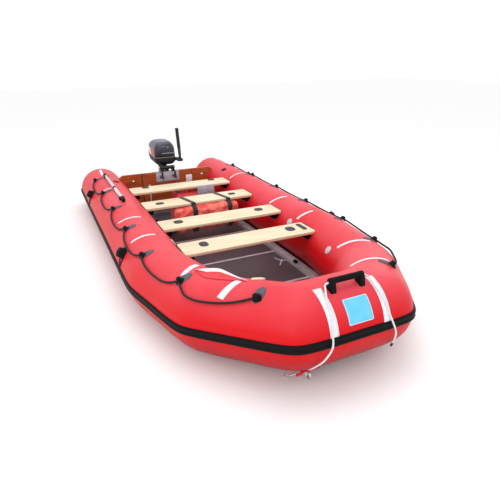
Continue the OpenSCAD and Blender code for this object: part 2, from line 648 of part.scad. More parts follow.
prop_z = plate_z - prop_drop;
prop_x = leg_x - 158;
torpedo_d = 74;
hub_gap = 5;
prop_shaft_d = 16;
hub_l = 92;
module gearcase() color(black) {
    difference() {
        union() {
            translate([0, 0, prop_z]) linear_extrude(plate_z - plate[1] / 2 - prop_z) leg_section(leg_x - 4, 112, 40);
            translate([leg_x + 22, 0, prop_z]) rotate([0, -90, 0]) cylinder(h = 60, d1 = 24, d2 = torpedo_d);
            translate([leg_x - 38, 0, prop_z]) rotate([0, -90, 0]) cylinder(h = leg_x - 38 - prop_x, d = torpedo_d);
            translate([0, 5, 0]) rotate([90, 0, 0]) linear_extrude(10) polygon([[leg_x - 20, prop_z],
                [leg_x - 52, prop_z - skeg_drop], [leg_x - 96, prop_z - skeg_drop], [leg_x - 128, prop_z]]);
        }
    }
    translate([0, 0, plate_z - plate[1] / 2]) linear_extrude(plate[1]) polygon([[leg_x + 6, -20], [leg_x + 6, 20],
        [leg_x - 40, plate[0] / 2], [leg_x - 200, plate[0] / 2], [leg_x - 232, 40], [leg_x - 232, -40],
        [leg_x - 200, -plate[0] / 2], [leg_x - 40, -plate[0] / 2]]);
    translate([prop_x + 1, 0, prop_z]) rotate([0, -90, 0]) cylinder(h = hub_gap + hub_l + 16, d = prop_shaft_d);
}

module propeller() color("#2c2c30") difference() {
    union() {
        translate([prop_x - hub_gap, 0, prop_z]) rotate([0, -90, 0]) cylinder(h = hub_l, d1 = 66, d2 = 54);
        for (i = [0:blade_count - 1]) translate([prop_x - hub_gap - hub_l / 2, 0, prop_z])
            rotate([360 * i / blade_count, 0, 0]) rotate([0, 0, blade_pitch]) rotate([0, 90, 0]) translate([0, 0, -2.5])
            linear_extrude(5) intersection() {
                circle(d = prop_d - 6);
                translate([-0.29 * prop_d, 0]) circle(d = 0.44 * prop_d);
            }
    }
    translate([prop_x + 1, 0, prop_z]) rotate([0, -90, 0])
        cylinder(h = hub_gap + hub_l + 20, d = prop_shaft_d + 2 * bore_clear);
}

// ---- Outboard: tiller

pivot = [pan_front + tiller_pivot[0], tiller_pivot[1], pan_z + tiller_pivot[2]];
pivot_d = 14;
arm_t = 22;
cheek_h = 32;
module tiller_bracket() color(black) {
    difference() {
        union() {
            for (y = [pivot[1] - arm_t / 2 - 18, pivot[1] + arm_t / 2 + 6]) {
                translate([pivot[0] - 82, y, pivot[2] - cheek_h / 2]) cube([82, 12, cheek_h]);
                translate([pivot[0], y, pivot[2]]) rotate([-90, 0, 0]) cylinder(h = 12, d = cheek_h);
            }
            translate([pivot[0] - 116, cowl[1] / 2 - 40, pivot[2] - cheek_h / 2])
                cube([36, pivot[1] + arm_t / 2 + 18 - cowl[1] / 2 + 40, cheek_h]);
        }
        lower_pan();
    }
    translate([pivot[0], pivot[1] - arm_t / 2 - 8, pivot[2]]) rotate([-90, 0, 0]) cylinder(h = arm_t + 16, d = pivot_d);
}

module folded() translate(pivot) rotate([0, -tiller_lean, 0]) children();
module tiller_arm() color(black) folded() difference() {
    union() {
        translate([0, -arm_t / 2, 0]) rotate([-90, 0, 0]) cylinder(h = arm_t, r = 19);
        translate([-16, -arm_t / 2, 0]) cube([32, arm_t, 60]);
        translate([-16, -17, 48]) cube([32, 34, tiller_arm_len - 48]);
    }
    translate([0, -arm_t, 0]) rotate([-90, 0, 0]) cylinder(h = 2 * arm_t, d = pivot_d + 2 * bore_clear);
}
module tiller_grip() color(black) folded() translate([0, 0, tiller_arm_len]) cylinder(h = grip[1], d = grip[0]);

side_tubes();
bow_tubes_after();
bow_tubes_fore();
bow_tube_nose();
stern_cones();
stern_caps();
rubbing_strake();
hull_bottom();
keel_strip_part();  // keel_strip
floor_boards();
floor_joiners();
stringers();
transom();
transom_doubler();
motor_pads();
thwarts();
thwart_brackets();
lifeline_patches();
lifeline_starboard();
lifeline_port();
rowlocks();
valves();
bow_handle();
bow_rope_starboard();
bow_rope_port();
tow_ring();
oar_shaft();
oar_clips();
fuel_tank();
seat_bag();
foot_pump();
clamp_bracket();
clamp_screws();
swivel_bracket();
steering_shaft();
lower_pan();
cowl_cover();
engine_block();
midsection();
gearcase();
tiller_bracket();
tiller_arm();
tiller_grip();
propeller();
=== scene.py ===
"""An inflatable motor boat: red coated-fabric tubes, plank seats, a plywood transom and a
small outboard motor. Metres; +X forward, +Y to port, +Z up, z = 0 is the waterline."""
import math
import bpy
import bmesh
from mathutils import Matrix, Vector, noise


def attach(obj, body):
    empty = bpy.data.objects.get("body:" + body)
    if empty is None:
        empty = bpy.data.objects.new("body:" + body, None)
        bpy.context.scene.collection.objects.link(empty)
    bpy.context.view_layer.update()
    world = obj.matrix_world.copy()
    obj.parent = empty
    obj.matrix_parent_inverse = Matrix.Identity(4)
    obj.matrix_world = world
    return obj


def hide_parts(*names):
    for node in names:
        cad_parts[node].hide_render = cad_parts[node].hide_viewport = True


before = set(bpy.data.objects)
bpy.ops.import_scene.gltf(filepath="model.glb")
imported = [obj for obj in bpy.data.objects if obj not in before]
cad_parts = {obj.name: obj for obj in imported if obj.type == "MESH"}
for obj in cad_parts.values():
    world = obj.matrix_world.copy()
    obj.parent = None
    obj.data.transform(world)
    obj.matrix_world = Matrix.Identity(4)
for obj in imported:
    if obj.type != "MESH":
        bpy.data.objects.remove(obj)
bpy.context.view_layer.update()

# ---- Stage
# The boat floats on a plain pale floor at its waterline, in a bright white studio.
# A person standing off the starboard bow looks down at it.
eye = Vector((3.671, -1.353, 1.650))
turn, dip, roll = math.radians(64.684), math.radians(23.241), math.radians(-0.507)
camera = bpy.data.objects.new("camera", bpy.data.cameras.new("camera"))
bpy.context.collection.objects.link(camera)
camera.data.sensor_width = 36
camera.data.lens = 31.76
camera.data.clip_start = 0.05
back = Vector((math.sin(turn) * math.cos(dip), -math.cos(turn) * math.cos(dip), math.sin(dip)))
right = Vector((math.cos(turn), math.sin(turn), 0))
up = back.cross(right)
tilted = Matrix((right * math.cos(roll) + up * math.sin(roll),
                 up * math.cos(roll) - right * math.sin(roll), back)).transposed()
camera.matrix_world = Matrix.Translation(eye) @ tilted.to_4x4()
bpy.context.scene.camera = camera
bpy.context.scene.view_settings.view_transform = "Standard"


def colour(code):
    """An sRGB hex code as linear RGBA."""
    parts = [int(code[i:i + 2], 16) / 255 for i in (1, 3, 5)]
    return [p / 12.92 if p <= 0.04045 else ((p + 0.055) / 1.055) ** 2.4 for p in parts] + [1]


def wire(node, inputs):
    """Links or sets a node's inputs; a node stands for its factor, or else for its output in use."""
    for key, value in inputs.items():
        if isinstance(value, bpy.types.Node):
            value = value.outputs["Fac"] if "Fac" in value.outputs else next(o for o in value.outputs if o.enabled)
        if isinstance(value, bpy.types.NodeSocket):
            node.id_data.links.new(value, node.inputs[key])
        else:
            node.inputs[key].default_value = colour(value) if isinstance(value, str) else value


def add(shader, kind, inputs=(), **settings):
    """Adds one node beside the shader with its settings, and links or sets its inputs."""
    node = shader.id_data.nodes.new("ShaderNode" + kind)
    for key, value in settings.items():
        setattr(node, key, value)
    wire(node, dict(inputs))
    return node


def finish_named(name, code, roughness, **sockets):
    """Starts a material: gives it, its shader with the even values set, and its object coordinates."""
    made = bpy.data.materials.new(name)
    made.use_nodes = True
    shader = made.node_tree.nodes["Principled BSDF"]
    wire(shader, {"Base Color": code, "Roughness": roughness})
    wire(shader, {key.replace("_", " "): value for key, value in sockets.items()})
    return made, shader, add(shader, "TexCoord").outputs["Object"]


floor_mesh = bmesh.new()
bmesh.ops.create_grid(floor_mesh, x_segments=4, y_segments=4, size=30)
floor = bpy.data.objects.new("floor", bpy.data.meshes.new("floor"))
floor_mesh.to_mesh(floor.data)
floor_mesh.free()
bpy.context.collection.objects.link(floor)
floor.data.materials.append(finish_named("white_studio_floor", "#FCFCFD", 0.9)[0])

world = bpy.data.worlds.new("studio")
bpy.context.scene.world = world
world.use_nodes = True
wire(world.node_tree.nodes["Background"], {"Color": "#FFFFFF", "Strength": 1.0})
lamps = [("overhead", (0.3, 0.2, 5.0), (0, 0, 0), (6.0, 4.0), 78),
         ("bow_side", (5.0, -4.5, 3.2), (0.4, 0, 0.2), (3.0, 3.0), 60),
         ("port_rim", (-1.5, 5.0, 3.2), (0, 0, 0.3), (3.0, 2.0), 34)]
for lamp_name, at, toward, size, power in lamps:
    lamp = bpy.data.objects.new(lamp_name, bpy.data.lights.new(lamp_name, "AREA"))
    lamp.data.shape = "RECTANGLE"
    lamp.data.size, lamp.data.size_y = size
    lamp.data.energy = power
    lamp.location = at
    lamp.rotation_euler = (Vector(toward) - Vector(at)).to_track_quat("-Z", "Y").to_euler()
    bpy.context.collection.objects.link(lamp)

# ---- Lifelines
# Black braided polyester rope, 14 mm, threaded through moulded patches and left slack
# between them, so that it hangs in a swag along the outside of each tube.
half_spacing, tube_height, tube_radius = 0.721, 0.214, 0.237
stern_x, patch_first, patch_pitch = -1.950, -1.455, 0.577
line = [Vector(p) for p in ((stern_x, -0.721, 0.214), (0.855, -0.721, 0.214), (1.465, -0.592, 0.238),
                            (1.930, -0.261, 0.315))]
line += [Vector((p.x, -p.y, p.z)) for p in reversed(line)]
headings = [(b - a).normalized() for a, b in zip(line, line[1:])]


def on_tube(i, s, angle, out=0.0):
    """A point by segment, distance along it, angle above the widest line and height off the skin."""
    ahead = headings[i]
    side = ahead.cross(Vector((0, 0, 1))).normalized()
    rise = side.cross(ahead)
    a = math.radians(angle)
    return line[i] + ahead * s + (side * math.cos(a) + rise * math.sin(a)) * (tube_radius + out)


def smooth_route(points, n):
    """A smooth curve through the points, n steps to each."""
    route = []
    for i in range(len(points) - 1):
        a, b, c = points[max(i - 1, 0)], points[i], points[i + 1]
        d = points[min(i + 2, len(points) - 1)]
        for k in range(n):
            t = k / n
            route.append(b + (t * (c - a) + t * t * (2 * a - 5 * b + 4 * c - d)
                              + t ** 3 * (3 * b - a - 3 * c + d)) * 0.5)
    return route + [points[-1]]


def rope(name, route, diameter, material):
    """A round rope along a route, as a curve of one open spline."""
    curve = bpy.data.curves.new(name, "CURVE")
    curve.dimensions = "3D"
    curve.bevel_depth = diameter / 2
    curve.bevel_resolution = 3
    curve.use_fill_caps = True
    spline = curve.splines.new("POLY")
    spline.points.add(len(route) - 1)
    for point, at in zip(spline.points, route):
        point.co = (*at, 1)
    made = bpy.data.objects.new(name, curve)
    bpy.context.collection.objects.link(made)
    made.data.materials.append(material)
    return made


def hand_over(made, body, slot, *replaced):
    """Attaches a piece to the body it moves with and hides the frame's parts that it replaces; slot is not used."""
    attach(made, body)
    if replaced:
        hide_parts(*replaced)
    return made


# Braided polyester: soft, matt, with plaits that catch a little light. The 3 mm plaits are
# drawn 5 mm long so that they show.
black_braid, shader, place = finish_named("black_braided_polyester", "#09090B", 0.8, Sheen_Weight=0.03)
plait = add(shader, "TexVoronoi", {"Vector": place, "Scale": 1 / 0.005})
wire(shader, {"Normal": add(shader, "Bump", {"Height": plait, "Distance": 0.0012, "Strength": 0.8}, invert=True)})

swag = [(0, 60), (30, 57.5), (90, 52), (170, 48), (290, 46), (410, 47), (490, 50.5), (547, 56.5)]
route = [on_tube(0, patch_first + i * patch_pitch + s / 1000 - stern_x, a, 0.011) for i in range(4) for s, a in swag]
route += [on_tube(i, s / 1000, a, 0.011) for i, s, a in (
    (0, 2803, 60), (1, 20, 57), (1, 80, 52), (1, 165, 48), (1, 270, 46), (1, 375, 46.5), (1, 450, 51), (1, 488, 56),
    (1, 514, 59.5), (1, 545, 56.5), (1, 600, 51.5), (1, 655, 48.5), (2, 55, 46), (2, 135, 45.5), (2, 225, 47),
    (2, 305, 50.5), (2, 365, 55), (2, 400, 58.5), (2, 428, 61.5))]
for side_name, sided in (("starboard", route), ("port", [Vector((p.x, -p.y, p.z)) for p in reversed(route)])):
    lifeline = rope("lifeline_rope_" + side_name, smooth_route(sided, 4), 0.014, black_braid)
    hand_over(lifeline, "boat", "black_rope", "lifeline_" + side_name)

# ---- Bow ropes
# White laid polyester rope, 10 mm. One goes from the bow handle down round the nose to the
# tow ring, and the other hangs short on the port side and ends in a black whipping.
white_braid, shader, place = finish_named("white_laid_polyester", "#E9E9EA", 0.75, Sheen_Weight=0.3)
strands = add(shader, "TexWave", {"Vector": place, "Scale": 1 / 0.02, "Distortion": 1.0}, bands_direction="DIAGONAL")
wire(shader, {"Normal": add(shader, "Bump", {"Height": strands, "Distance": 0.0012, "Strength": 0.7})})
# The same wave paints the grooves between the strands greyer: painted shade.
wire(shader, {"Base Color": add(shader, "Mix", {0: strands, 6: "#C9C9CE", 7: "#F4F4F5"}, data_type="RGBA")})

bow_left = [(2000, -112, 585), (2000, -132, 575), (2020, -145, 565), (2060, -160, 530), (2105, -170, 495),
            (2145, -180, 435), (2170, -188, 380), (2190, -198, 335), (2193, -215, 300), (2172, -240, 240),
            (2130, -262, 185), (2090, -262, 145), (2052, -250, 115)]
bow_right = [(2000, 112, 585), (2000, 132, 575), (2020, 140, 565), (2055, 150, 535), (2100, 162, 500),
             (2145, 175, 435), (2172, 188, 380), (2190, 200, 335), (2192, 212, 300), (2182, 222, 255), (2160, 232, 205)]
whipped = [Vector(p) for p in ((2.1605, 0.2318, 0.206), (2.155, 0.2335, 0.192), (2.148, 0.235, 0.178))]
whipping = hand_over(rope("black_whipping_port", whipped, 0.0125, black_braid), "boat", "black_rope")
for side_name, points, long, end in (("starboard", bow_left, 0.63, "object"), ("port", bow_right, 0.49, "fitting")):
    run = [Vector(p) / 1000 for p in points]
    bow_rope = rope("bow_rope_line_" + side_name, smooth_route(run, 4), 0.010, white_braid)
    hand_over(bow_rope, "boat", "white_rope", "bow_rope_" + side_name)

# ---- Buoyancy tube
# Red PVC-coated polyester, welded into straight chambers that meet at mitred seams, with a
# cone at each stern. Air pressure keeps it round; each seam draws in a little.
cone_length = 0.200
mitres = [headings[0]] + [(a + b).normalized() for a, b in zip(headings, headings[1:])] + [headings[-1]]


def across(i, at, normal, angle, out):
    """A point of the tube's skin at an angle, on the plane through at with that normal."""
    p = on_tube(i, 0, angle, out)
    return p + headings[i] * ((at - p).dot(normal) / headings[i].dot(normal))


def swept(planes, ring):
    """Lays a strip of a grid along the planes, eased round each mitre; ring gives (angle, height off the skin)."""
    mesh = bmesh.new()
    far = len(planes) - 1, len(ring(0)) - 1
    rings = [[across(i, at, normal, angle, out + drop) for angle, out in ring(i)] for i, at, normal, drop in planes]
    bent = [k for k in range(1, far[0]) if min((planes[k][1] - p).length for p in line[1:7]) < 0.1]
    for _ in range(14):
        eased = {k: [(a + b) / 4 + c / 2 for a, b, c in zip(rings[k - 1], rings[k + 1], rings[k])] for k in bent}
        for k in bent:
            rings[k] = eased[k]
    bmesh.ops.create_grid(mesh, x_segments=far[0], y_segments=far[1], size=1)
    for v in mesh.verts:
        v.co = rings[round((v.co.x + 1) / 2 * far[0])][round((v.co.y + 1) / 2 * far[1])]
    bmesh.ops.remove_doubles(mesh, verts=mesh.verts, dist=1e-5)
    bmesh.ops.recalc_face_normals(mesh, faces=mesh.faces)
    return mesh


def piece(name, mesh, material):
    """Makes an object at the origin from a bmesh."""
    made = bpy.data.objects.new(name, bpy.data.meshes.new(name))
    mesh.to_mesh(made.data)
    mesh.free()
    bpy.context.collection.objects.link(made)
    made.data.materials.append(material)
    made.data.shade_smooth()
    return made


seam_shoulder = [(0, -0.0008), (0.02, -0.0002), (0.04, 0), (0.065, 0), (0.095, 0)]
tail = [(cone_length + 0.001, -0.112 - 0.02), (cone_length, -0.112), (0.19, -0.1065), (0.12, -0.0672), (0.06, -0.0336),
        (0.02, -0.0115), (0.006, -0.004), (-0.004, -0.001), (-0.02, 0)]
# Planes along the whole line, parallel to its mitres close to them, each with its drop of the skin.
stations = []
for i in range(7):
    long = (line[i + 1] - line[i]).length
    after_seam = seam_shoulder if i > 0 else seam_shoulder[4:]
    before_seam = seam_shoulder[:0:-1] if i < 6 else []
    between_seams = [long * k / 12 for k in range(1, 12)]
    stations += [(i, line[i] + headings[i] * s, mitres[i], drop) for s, drop in after_seam]
    stations += [(i, line[i] + headings[i] * s, headings[i], 0) for s in between_seams if 0.13 < s < long - 0.13]
    stations += [(i, line[i + 1] - headings[i] * s, mitres[i + 1], drop) for s, drop in before_seam]
first_cone = [(0, line[0] - headings[0] * s, headings[0], drop) for s, drop in tail]
last_cone = [(6, line[7] + headings[6] * s, headings[6], drop) for s, drop in reversed(tail)]
skin = swept(first_cone + stations + last_cone, lambda i: [(360 * k / 128, 0) for k in range(129)])
bmesh.ops.holes_fill(skin, edges=[e for e in skin.edges if e.is_boundary])
bmesh.ops.recalc_face_normals(skin, faces=skin.faces)
for v in skin.verts:
    puff = noise.noise(v.co * 3.1) * 0.0012 + noise.noise(v.co * 9.0) * 0.0004
    v.co += v.normal * puff


def rough_and_bump(shader, place, scale, depth, strength, low, high, detail=3):
    """Uneven roughness and a fine raised texture from one noise."""
    grain = add(shader, "TexNoise", {"Vector": place, "Scale": scale, "Detail": detail})
    wire(shader, {"Roughness": add(shader, "MapRange", {"Value": grain, "To Min": low, "To Max": high})})
    wire(shader, {"Normal": add(shader, "Bump", {"Height": grain, "Distance": depth, "Strength": strength})})
    return grain


# Coated fabric: a satin skin, slightly uneven where it lies over its base cloth.
# Faces turned to the sky are painted paler pink in noisy patches, a painted highlight; faces turned down are painted a
# deeper red, a painted shade.
red_pvc, shader, place = finish_named("red_pvc_coated_polyester", "#D20C16", 0.36, Specular_IOR_Level=0.2)
rough_and_bump(shader, place, 26, 0.002, 0.25, 0.34, 0.5, 4)
skyward = add(shader, "SeparateXYZ", {0: add(shader, "NewGeometry").outputs["Normal"]})
painted_highlight_amount = add(shader, "MapRange", {"Value": skyward.outputs["Z"], "From Min": 0.3, "From Max": 1.0, "To Max": 0.5})
patchy = add(shader, "TexNoise", {"Vector": place, "Scale": 2.2, "Detail": 5})
painted_sheen_and_scuff_amount = add(shader, "Math", {0: painted_highlight_amount, 1: patchy}, operation="MULTIPLY")
# FF8194 is the painted highlight on the upward faces.
painted_top_highlight = add(shader, "Mix", {0: painted_sheen_and_scuff_amount, 6: "#D40812", 7: "#FF8194"}, data_type="RGBA")
lit = add(shader, "MapRange", {"Value": skyward.outputs["Z"], "From Min": -0.7, "From Max": 0.0})
# A0050D is painted shade on the downward faces.
wire(shader, {"Base Color": add(shader, "Mix", {0: lit, 6: "#A0050D", 7: painted_top_highlight.outputs[2]}, data_type="RGBA")})
hand_over(piece("buoyancy_tube", skin, red_pvc), "boat", "tube_fabric", "side_tubes", "bow_tubes_after",
          "bow_tubes_fore", "bow_tube_nose", "stern_cones")

# ---- Rubbing strake
# Black extruded rubber, 52 mm high, glued round the widest line of the tube, with a groove
# along its middle between two rounded ribs.
strake_profile = [(-26, -2), (-26, 4), (-24, 7.5), (-20, 10.5), (-15, 12.5), (-10.5, 12.5), (-7.5, 9), (-4, 7.8),
                  (4, 7.8), (7.5, 9), (10.5, 12.5), (15, 12.5), (20, 10.5), (24, 7.5), (26, 4), (26, -2)]


def carried(angle, i):
    """Angle at which a line drawn along one segment goes on along the next."""
    before, after, cut = headings[i - 1], headings[i], mitres[i]
    side = before.cross(Vector((0, 0, 1))).normalized()
    p = side * math.cos(math.radians(angle)) + side.cross(before) * math.sin(math.radians(angle))
    p = p - before * (p.dot(cut) / before.dot(cut))
    beyond = after.cross(Vector((0, 0, 1))).normalized()
    return math.degrees(math.atan2(p.dot(beyond.cross(after)), p.dot(beyond)))


strake_angles = [-1.0]
for i in (1, 2, 3):
    strake_angles.append(carried(strake_angles[-1], i))
strake_angles += strake_angles[2::-1]
strake_planes = [(0, line[0], headings[0], 0)] + [(i, at, normal, 0) for i, at, normal, _ in stations]
strake_planes += [(6, line[7], headings[6], 0)]
band = swept(strake_planes, lambda i: [(strake_angles[i] + math.degrees(y / 237), z / 1000)
                                       for y, z in strake_profile])
bmesh.ops.holes_fill(band, edges=[e for e in band.edges if e.is_boundary])
bmesh.ops.recalc_face_normals(band, faces=band.faces)
# Extruded rubber: nearly black, satin, unevenly worn.
black_rubber, shader, place = finish_named("black_rubber", "#08080A", 0.55, Specular_IOR_Level=0.14)
rough_and_bump(shader, place, 60, 0.001, 0.3, 0.45, 0.7)
hand_over(piece("rubbing_band", band, black_rubber), "boat", "black_rubber", "rubbing_strake")

# ---- Stern cone caps
# Black moulded rubber caps that close the small ends of the stern cones: a rolled rim, a
# shallow dish and a raised middle.
def turned(mesh, profile, centre, axis, steps=40):
    """Turns a profile of (distance along the axis, radius) round an axis, and gives its vertices."""
    before = set(mesh.verts)
    centre, axis = Vector(centre), Vector(axis).normalized()
    aside = axis.orthogonal().normalized()
    points = [mesh.verts.new(centre + axis * h + aside * r) for h, r in profile]
    edges = [mesh.edges.new(pair) for pair in zip(points, points[1:])]
    bmesh.ops.spin(mesh, geom=points + edges, cent=centre, axis=axis, angle=2 * math.pi, steps=steps, use_merge=True)
    bmesh.ops.remove_doubles(mesh, verts=mesh.verts, dist=1e-6)
    return [v for v in mesh.verts if v not in before]


caps = bmesh.new()
for y in (-half_spacing, half_spacing):
    turned(caps, [(0, 0.121), (0.001, 0.125), (0.009, 0.125), (0.012, 0.120), (0.010, 0.112), (0.007, 0.106),
                  (0.007, 0.050), (0.010, 0.044), (0.0115, 0.030), (0.0115, 0.0)],
           (stern_x - cone_length, y, tube_height), (-1, 0, 0), 64)
hand_over(piece("stern_cone_caps", caps, black_rubber), "boat", "black_rubber", "stern_caps")

# ---- Seam tapes
# White tape of the tube's own PVC, 20 to 52 mm wide and welded on, marks the joins of the
# chambers along the top and two bands round the nose.
def laid(mesh, i, s, angle, out=0.0, verts=None):
    """Bends a flat shape (x along the tube, y round it, z off the skin) onto one segment."""
    for v in (mesh.verts if verts is None else verts):
        x, y, z = v.co
        v.co = on_tube(i, s + x, angle + math.degrees(y / tube_radius), z + out)


def tape(mesh, i, start, end, width, thick=0.0016):
    """A strip of tape from one (distance, angle) to another; the ends keep square to its run."""
    a, b = (Vector((s / 1000, math.radians(g) * tube_radius, 0)) for s, g in (start, end))
    across_it = (b - a).cross(Vector((0, 0, 1))).normalized() * width / 2000
    made = bmesh.ops.create_grid(mesh, x_segments=26, y_segments=2, size=1)["verts"]
    for v in made:
        v.co = a + (b - a) * (v.co.x + 1) / 2 + across_it * v.co.y
    faces = list({f for v in made for f in v.link_faces})
    lifted = bmesh.ops.extrude_face_region(mesh, geom=faces)["geom"]
    top = [g for g in lifted if isinstance(g, bmesh.types.BMVert)]
    bmesh.ops.translate(mesh, verts=top, vec=(0, 0, thick))
    laid(mesh, i, 0, 0, 0.0, list({v for v in made + top if v.is_valid}))


white_tapes = bmesh.new()
for i, start, end, width in (
        (0, (985, 61), (985, 89), 20), (0, (2003, 54), (2039, 102), 22), (0, (2494, 56), (2494, 103), 24),
        (1, (480, 71), (401, 109), 36), (2, (207, 54), (249, 92), 46), (0, (78, 90), (360, 86), 30),
        (6, (1800, 126), (1800, 82), 20), (6, (783, 132), (724, 91), 22), (6, (272, 133), (240, 96), 24),
        (5, (128, 133), (52, 77), 24), (4, (112, 124), (237, 63), 24), (6, (2659, 76), (2880, 76), 30),
        (3, (92, 79), (92, 9), 52), (3, (433, 79), (433, 9), 46)):
    tape(white_tapes, i, start, end, width)
# White PVC tape: satin, scuffed with red from the tube beside it.
white_tape, shader, place = finish_named("white_pvc_tape", "#ECE6EC", 0.42, Coat_Weight=0.1)
rough_and_bump(shader, place, 90, 0.0008, 0.2, 0.35, 0.6)
scuffs = add(shader, "TexNoise", {"Vector": place, "Scale": 35, "Detail": 6, "Roughness": 0.7})
painted_sheen_and_scuff_amount = add(shader, "MapRange", {"Value": scuffs, "From Min": 0.52, "From Max": 0.75, "To Max": 0.55})
wire(shader, {"Base Color": add(shader, "Mix", {0: painted_sheen_and_scuff_amount, 6: "#F0ECF1", 7: "#D9A9B2"}, data_type="RGBA")})
hand_over(piece("white_tapes", white_tapes, white_tape), "boat", "tube_fabric")

# ---- Nose patch
# A blank sky-blue rectangle of printed PVC, 158 mm wide, glued to the middle of the nose, with
# a thin pale border.
def bevelled(mesh, edges, size, segments, clamp=False):
    """Rounds edges, and gives the new vertices."""
    return bmesh.ops.bevel(mesh, geom=list(edges), offset=size, segments=segments, profile=0.5, affect="EDGES",
                           material=-1, clamp_overlap=clamp)["verts"]


def rounded_plate(mesh, length, width, corner, thick, cuts=1):
    """A flat plate about the middle, with rounded corners and a grid in its faces."""
    made = bmesh.ops.create_cube(mesh, size=1, matrix=Matrix.Diagonal((length, width, thick, 1)))["verts"]
    upright = [e for e in {e for v in made for e in v.link_edges}
               if abs(e.verts[0].co.z - e.verts[1].co.z) > thick / 2]
    verts = list({w for v in bevelled(mesh, upright, corner, 6) for f in v.link_faces for w in f.verts})
    for k in range(1, cuts):
        for normal, size in (((1, 0, 0), length), ((0, 1, 0), width)):
            inside = [v for v in verts if v.is_valid]
            region = list({g for v in inside for g in list(v.link_faces) + list(v.link_edges)}) + inside
            at = Vector(normal) * size * (k / cuts - 0.5)
            made = bmesh.ops.bisect_plane(mesh, geom=region, dist=1e-6, plane_co=at, plane_no=normal)["geom_cut"]
            verts = inside + [g for g in made if isinstance(g, bmesh.types.BMVert)]
    return [v for v in verts if v.is_valid]


nose_patch = bmesh.new()
rounded_plate(nose_patch, 0.158, 0.141, 0.008, 0.003, 8)
laid(nose_patch, 3, 0.265, 37, 0.0006)


def clouded(shader, place, scale, detail, low, high):
    """Mixes the base colour between two tones by a soft noise."""
    noisy = add(shader, "TexNoise", {"Vector": place, "Scale": scale, "Detail": detail})
    wire(shader, {"Base Color": add(shader, "Mix", {0: noisy, 6: low, 7: high}, data_type="RGBA")})


# Printed PVC: smooth and slightly glossy, clouded with a paler blue.
blue_pvc, shader, place = finish_named("printed_blue_pvc", "#4CC0EC", 0.35, Coat_Weight=0.2)
rough_and_bump(shader, place, 120, 0.0005, 0.2, 0.28, 0.5)
clouded(shader, place, 22, 4, "#46BDEB", "#79D2F2")
hand_over(piece("blue_nose_patch", nose_patch, blue_pvc), "boat", "patch_rubber")
border = bmesh.new()
for start, end in (((190, 53.2), (340, 53.2)), ((190, 20.8), (340, 20.8)), ((190, 20.8), (190, 53.2)),
                   ((340, 20.8), (340, 53.2))):
    tape(border, 3, start, end, 3, 0.0027)
hand_over(piece("nose_patch_border", border, white_tape), "boat", "tube_fabric")

# ---- Lifeline patches
# Grey rubber ovals, 120 mm long, glued to the tube. A black moulded eye stands on each and
# the lifeline passes through it.
def to_port(mesh):
    """Copies everything in the mesh to the port side."""
    copied = bmesh.ops.duplicate(mesh, geom=list(mesh.verts) + list(mesh.edges) + list(mesh.faces))["geom"]
    bmesh.ops.scale(mesh, verts=[g for g in copied if isinstance(g, bmesh.types.BMVert)], vec=(1, -1, 1))
    bmesh.ops.reverse_faces(mesh, faces=[g for g in copied if isinstance(g, bmesh.types.BMFace)])


patch_angle = 68
patch_places = [(0, patch_first + k * patch_pitch - stern_x) for k in range(5)] + [(1, 0.514), (2, 0.428)]
pads, eyes = bmesh.new(), bmesh.new()
for i, s in patch_places:
    before = set(pads.verts)
    oval = bmesh.ops.create_circle(pads, cap_ends=True, radius=1, segments=36)["verts"]
    bmesh.ops.scale(pads, verts=oval, vec=(0.032, 0.060, 1))
    for inset, rise in ((0, 0.003), (0.05, 0.0015), (0.12, 0.0005)):
        face = max((f for f in pads.faces if all(v not in before for v in f.verts)),
                   key=lambda f: (len(f.verts), f.calc_center_median().z))
        lifted = bmesh.ops.extrude_face_region(pads, geom=[face])["geom"]
        ring = [g for g in lifted if isinstance(g, bmesh.types.BMVert)]
        bmesh.ops.scale(pads, verts=ring, vec=(1 - inset, 1 - inset / 2, 1))
        bmesh.ops.translate(pads, verts=ring, vec=(0, 0, rise))
        if face.is_valid:
            pads.faces.remove(face)
    top = max((f for f in pads.faces if all(v not in before for v in f.verts)), key=lambda f: f.calc_center_median().z)
    bmesh.ops.poke(pads, faces=[top])
    laid(pads, i, s, patch_angle, 0, [v for v in pads.verts if v not in before])
    eye_verts = turned(eyes, [(0, 0.029), (0.006, 0.028), (0.012, 0.023), (0.022, 0.0185), (0.029, 0.0165),
                              (0.033, 0.011), (0.034, 0)], (0, -0.026, 0), (0, 0, 1), 28)
    for v in eye_verts:
        if v.co.z > 0.008:
            v.co.y = -0.026 + (v.co.y + 0.026) * 0.8
            v.co.x *= 1.12
    laid(eyes, i, s, patch_angle, 0, eye_verts)
to_port(pads)
to_port(eyes)
# Grey rubber: flat, with chalky patches.
grey_rubber, shader, place = finish_named("grey_patch_rubber", "#5E5A66", 0.7)
rough_and_bump(shader, place, 75, 0.001, 0.35, 0.6, 0.85)
clouded(shader, place, 30, 5, "#3A3740", "#6A6672")
hand_over(piece("lifeline_patch_pads", pads, grey_rubber), "boat", "patch_rubber", "lifeline_patches")
hand_over(piece("lifeline_patch_eyes", eyes, black_rubber), "boat", "patch_rubber")

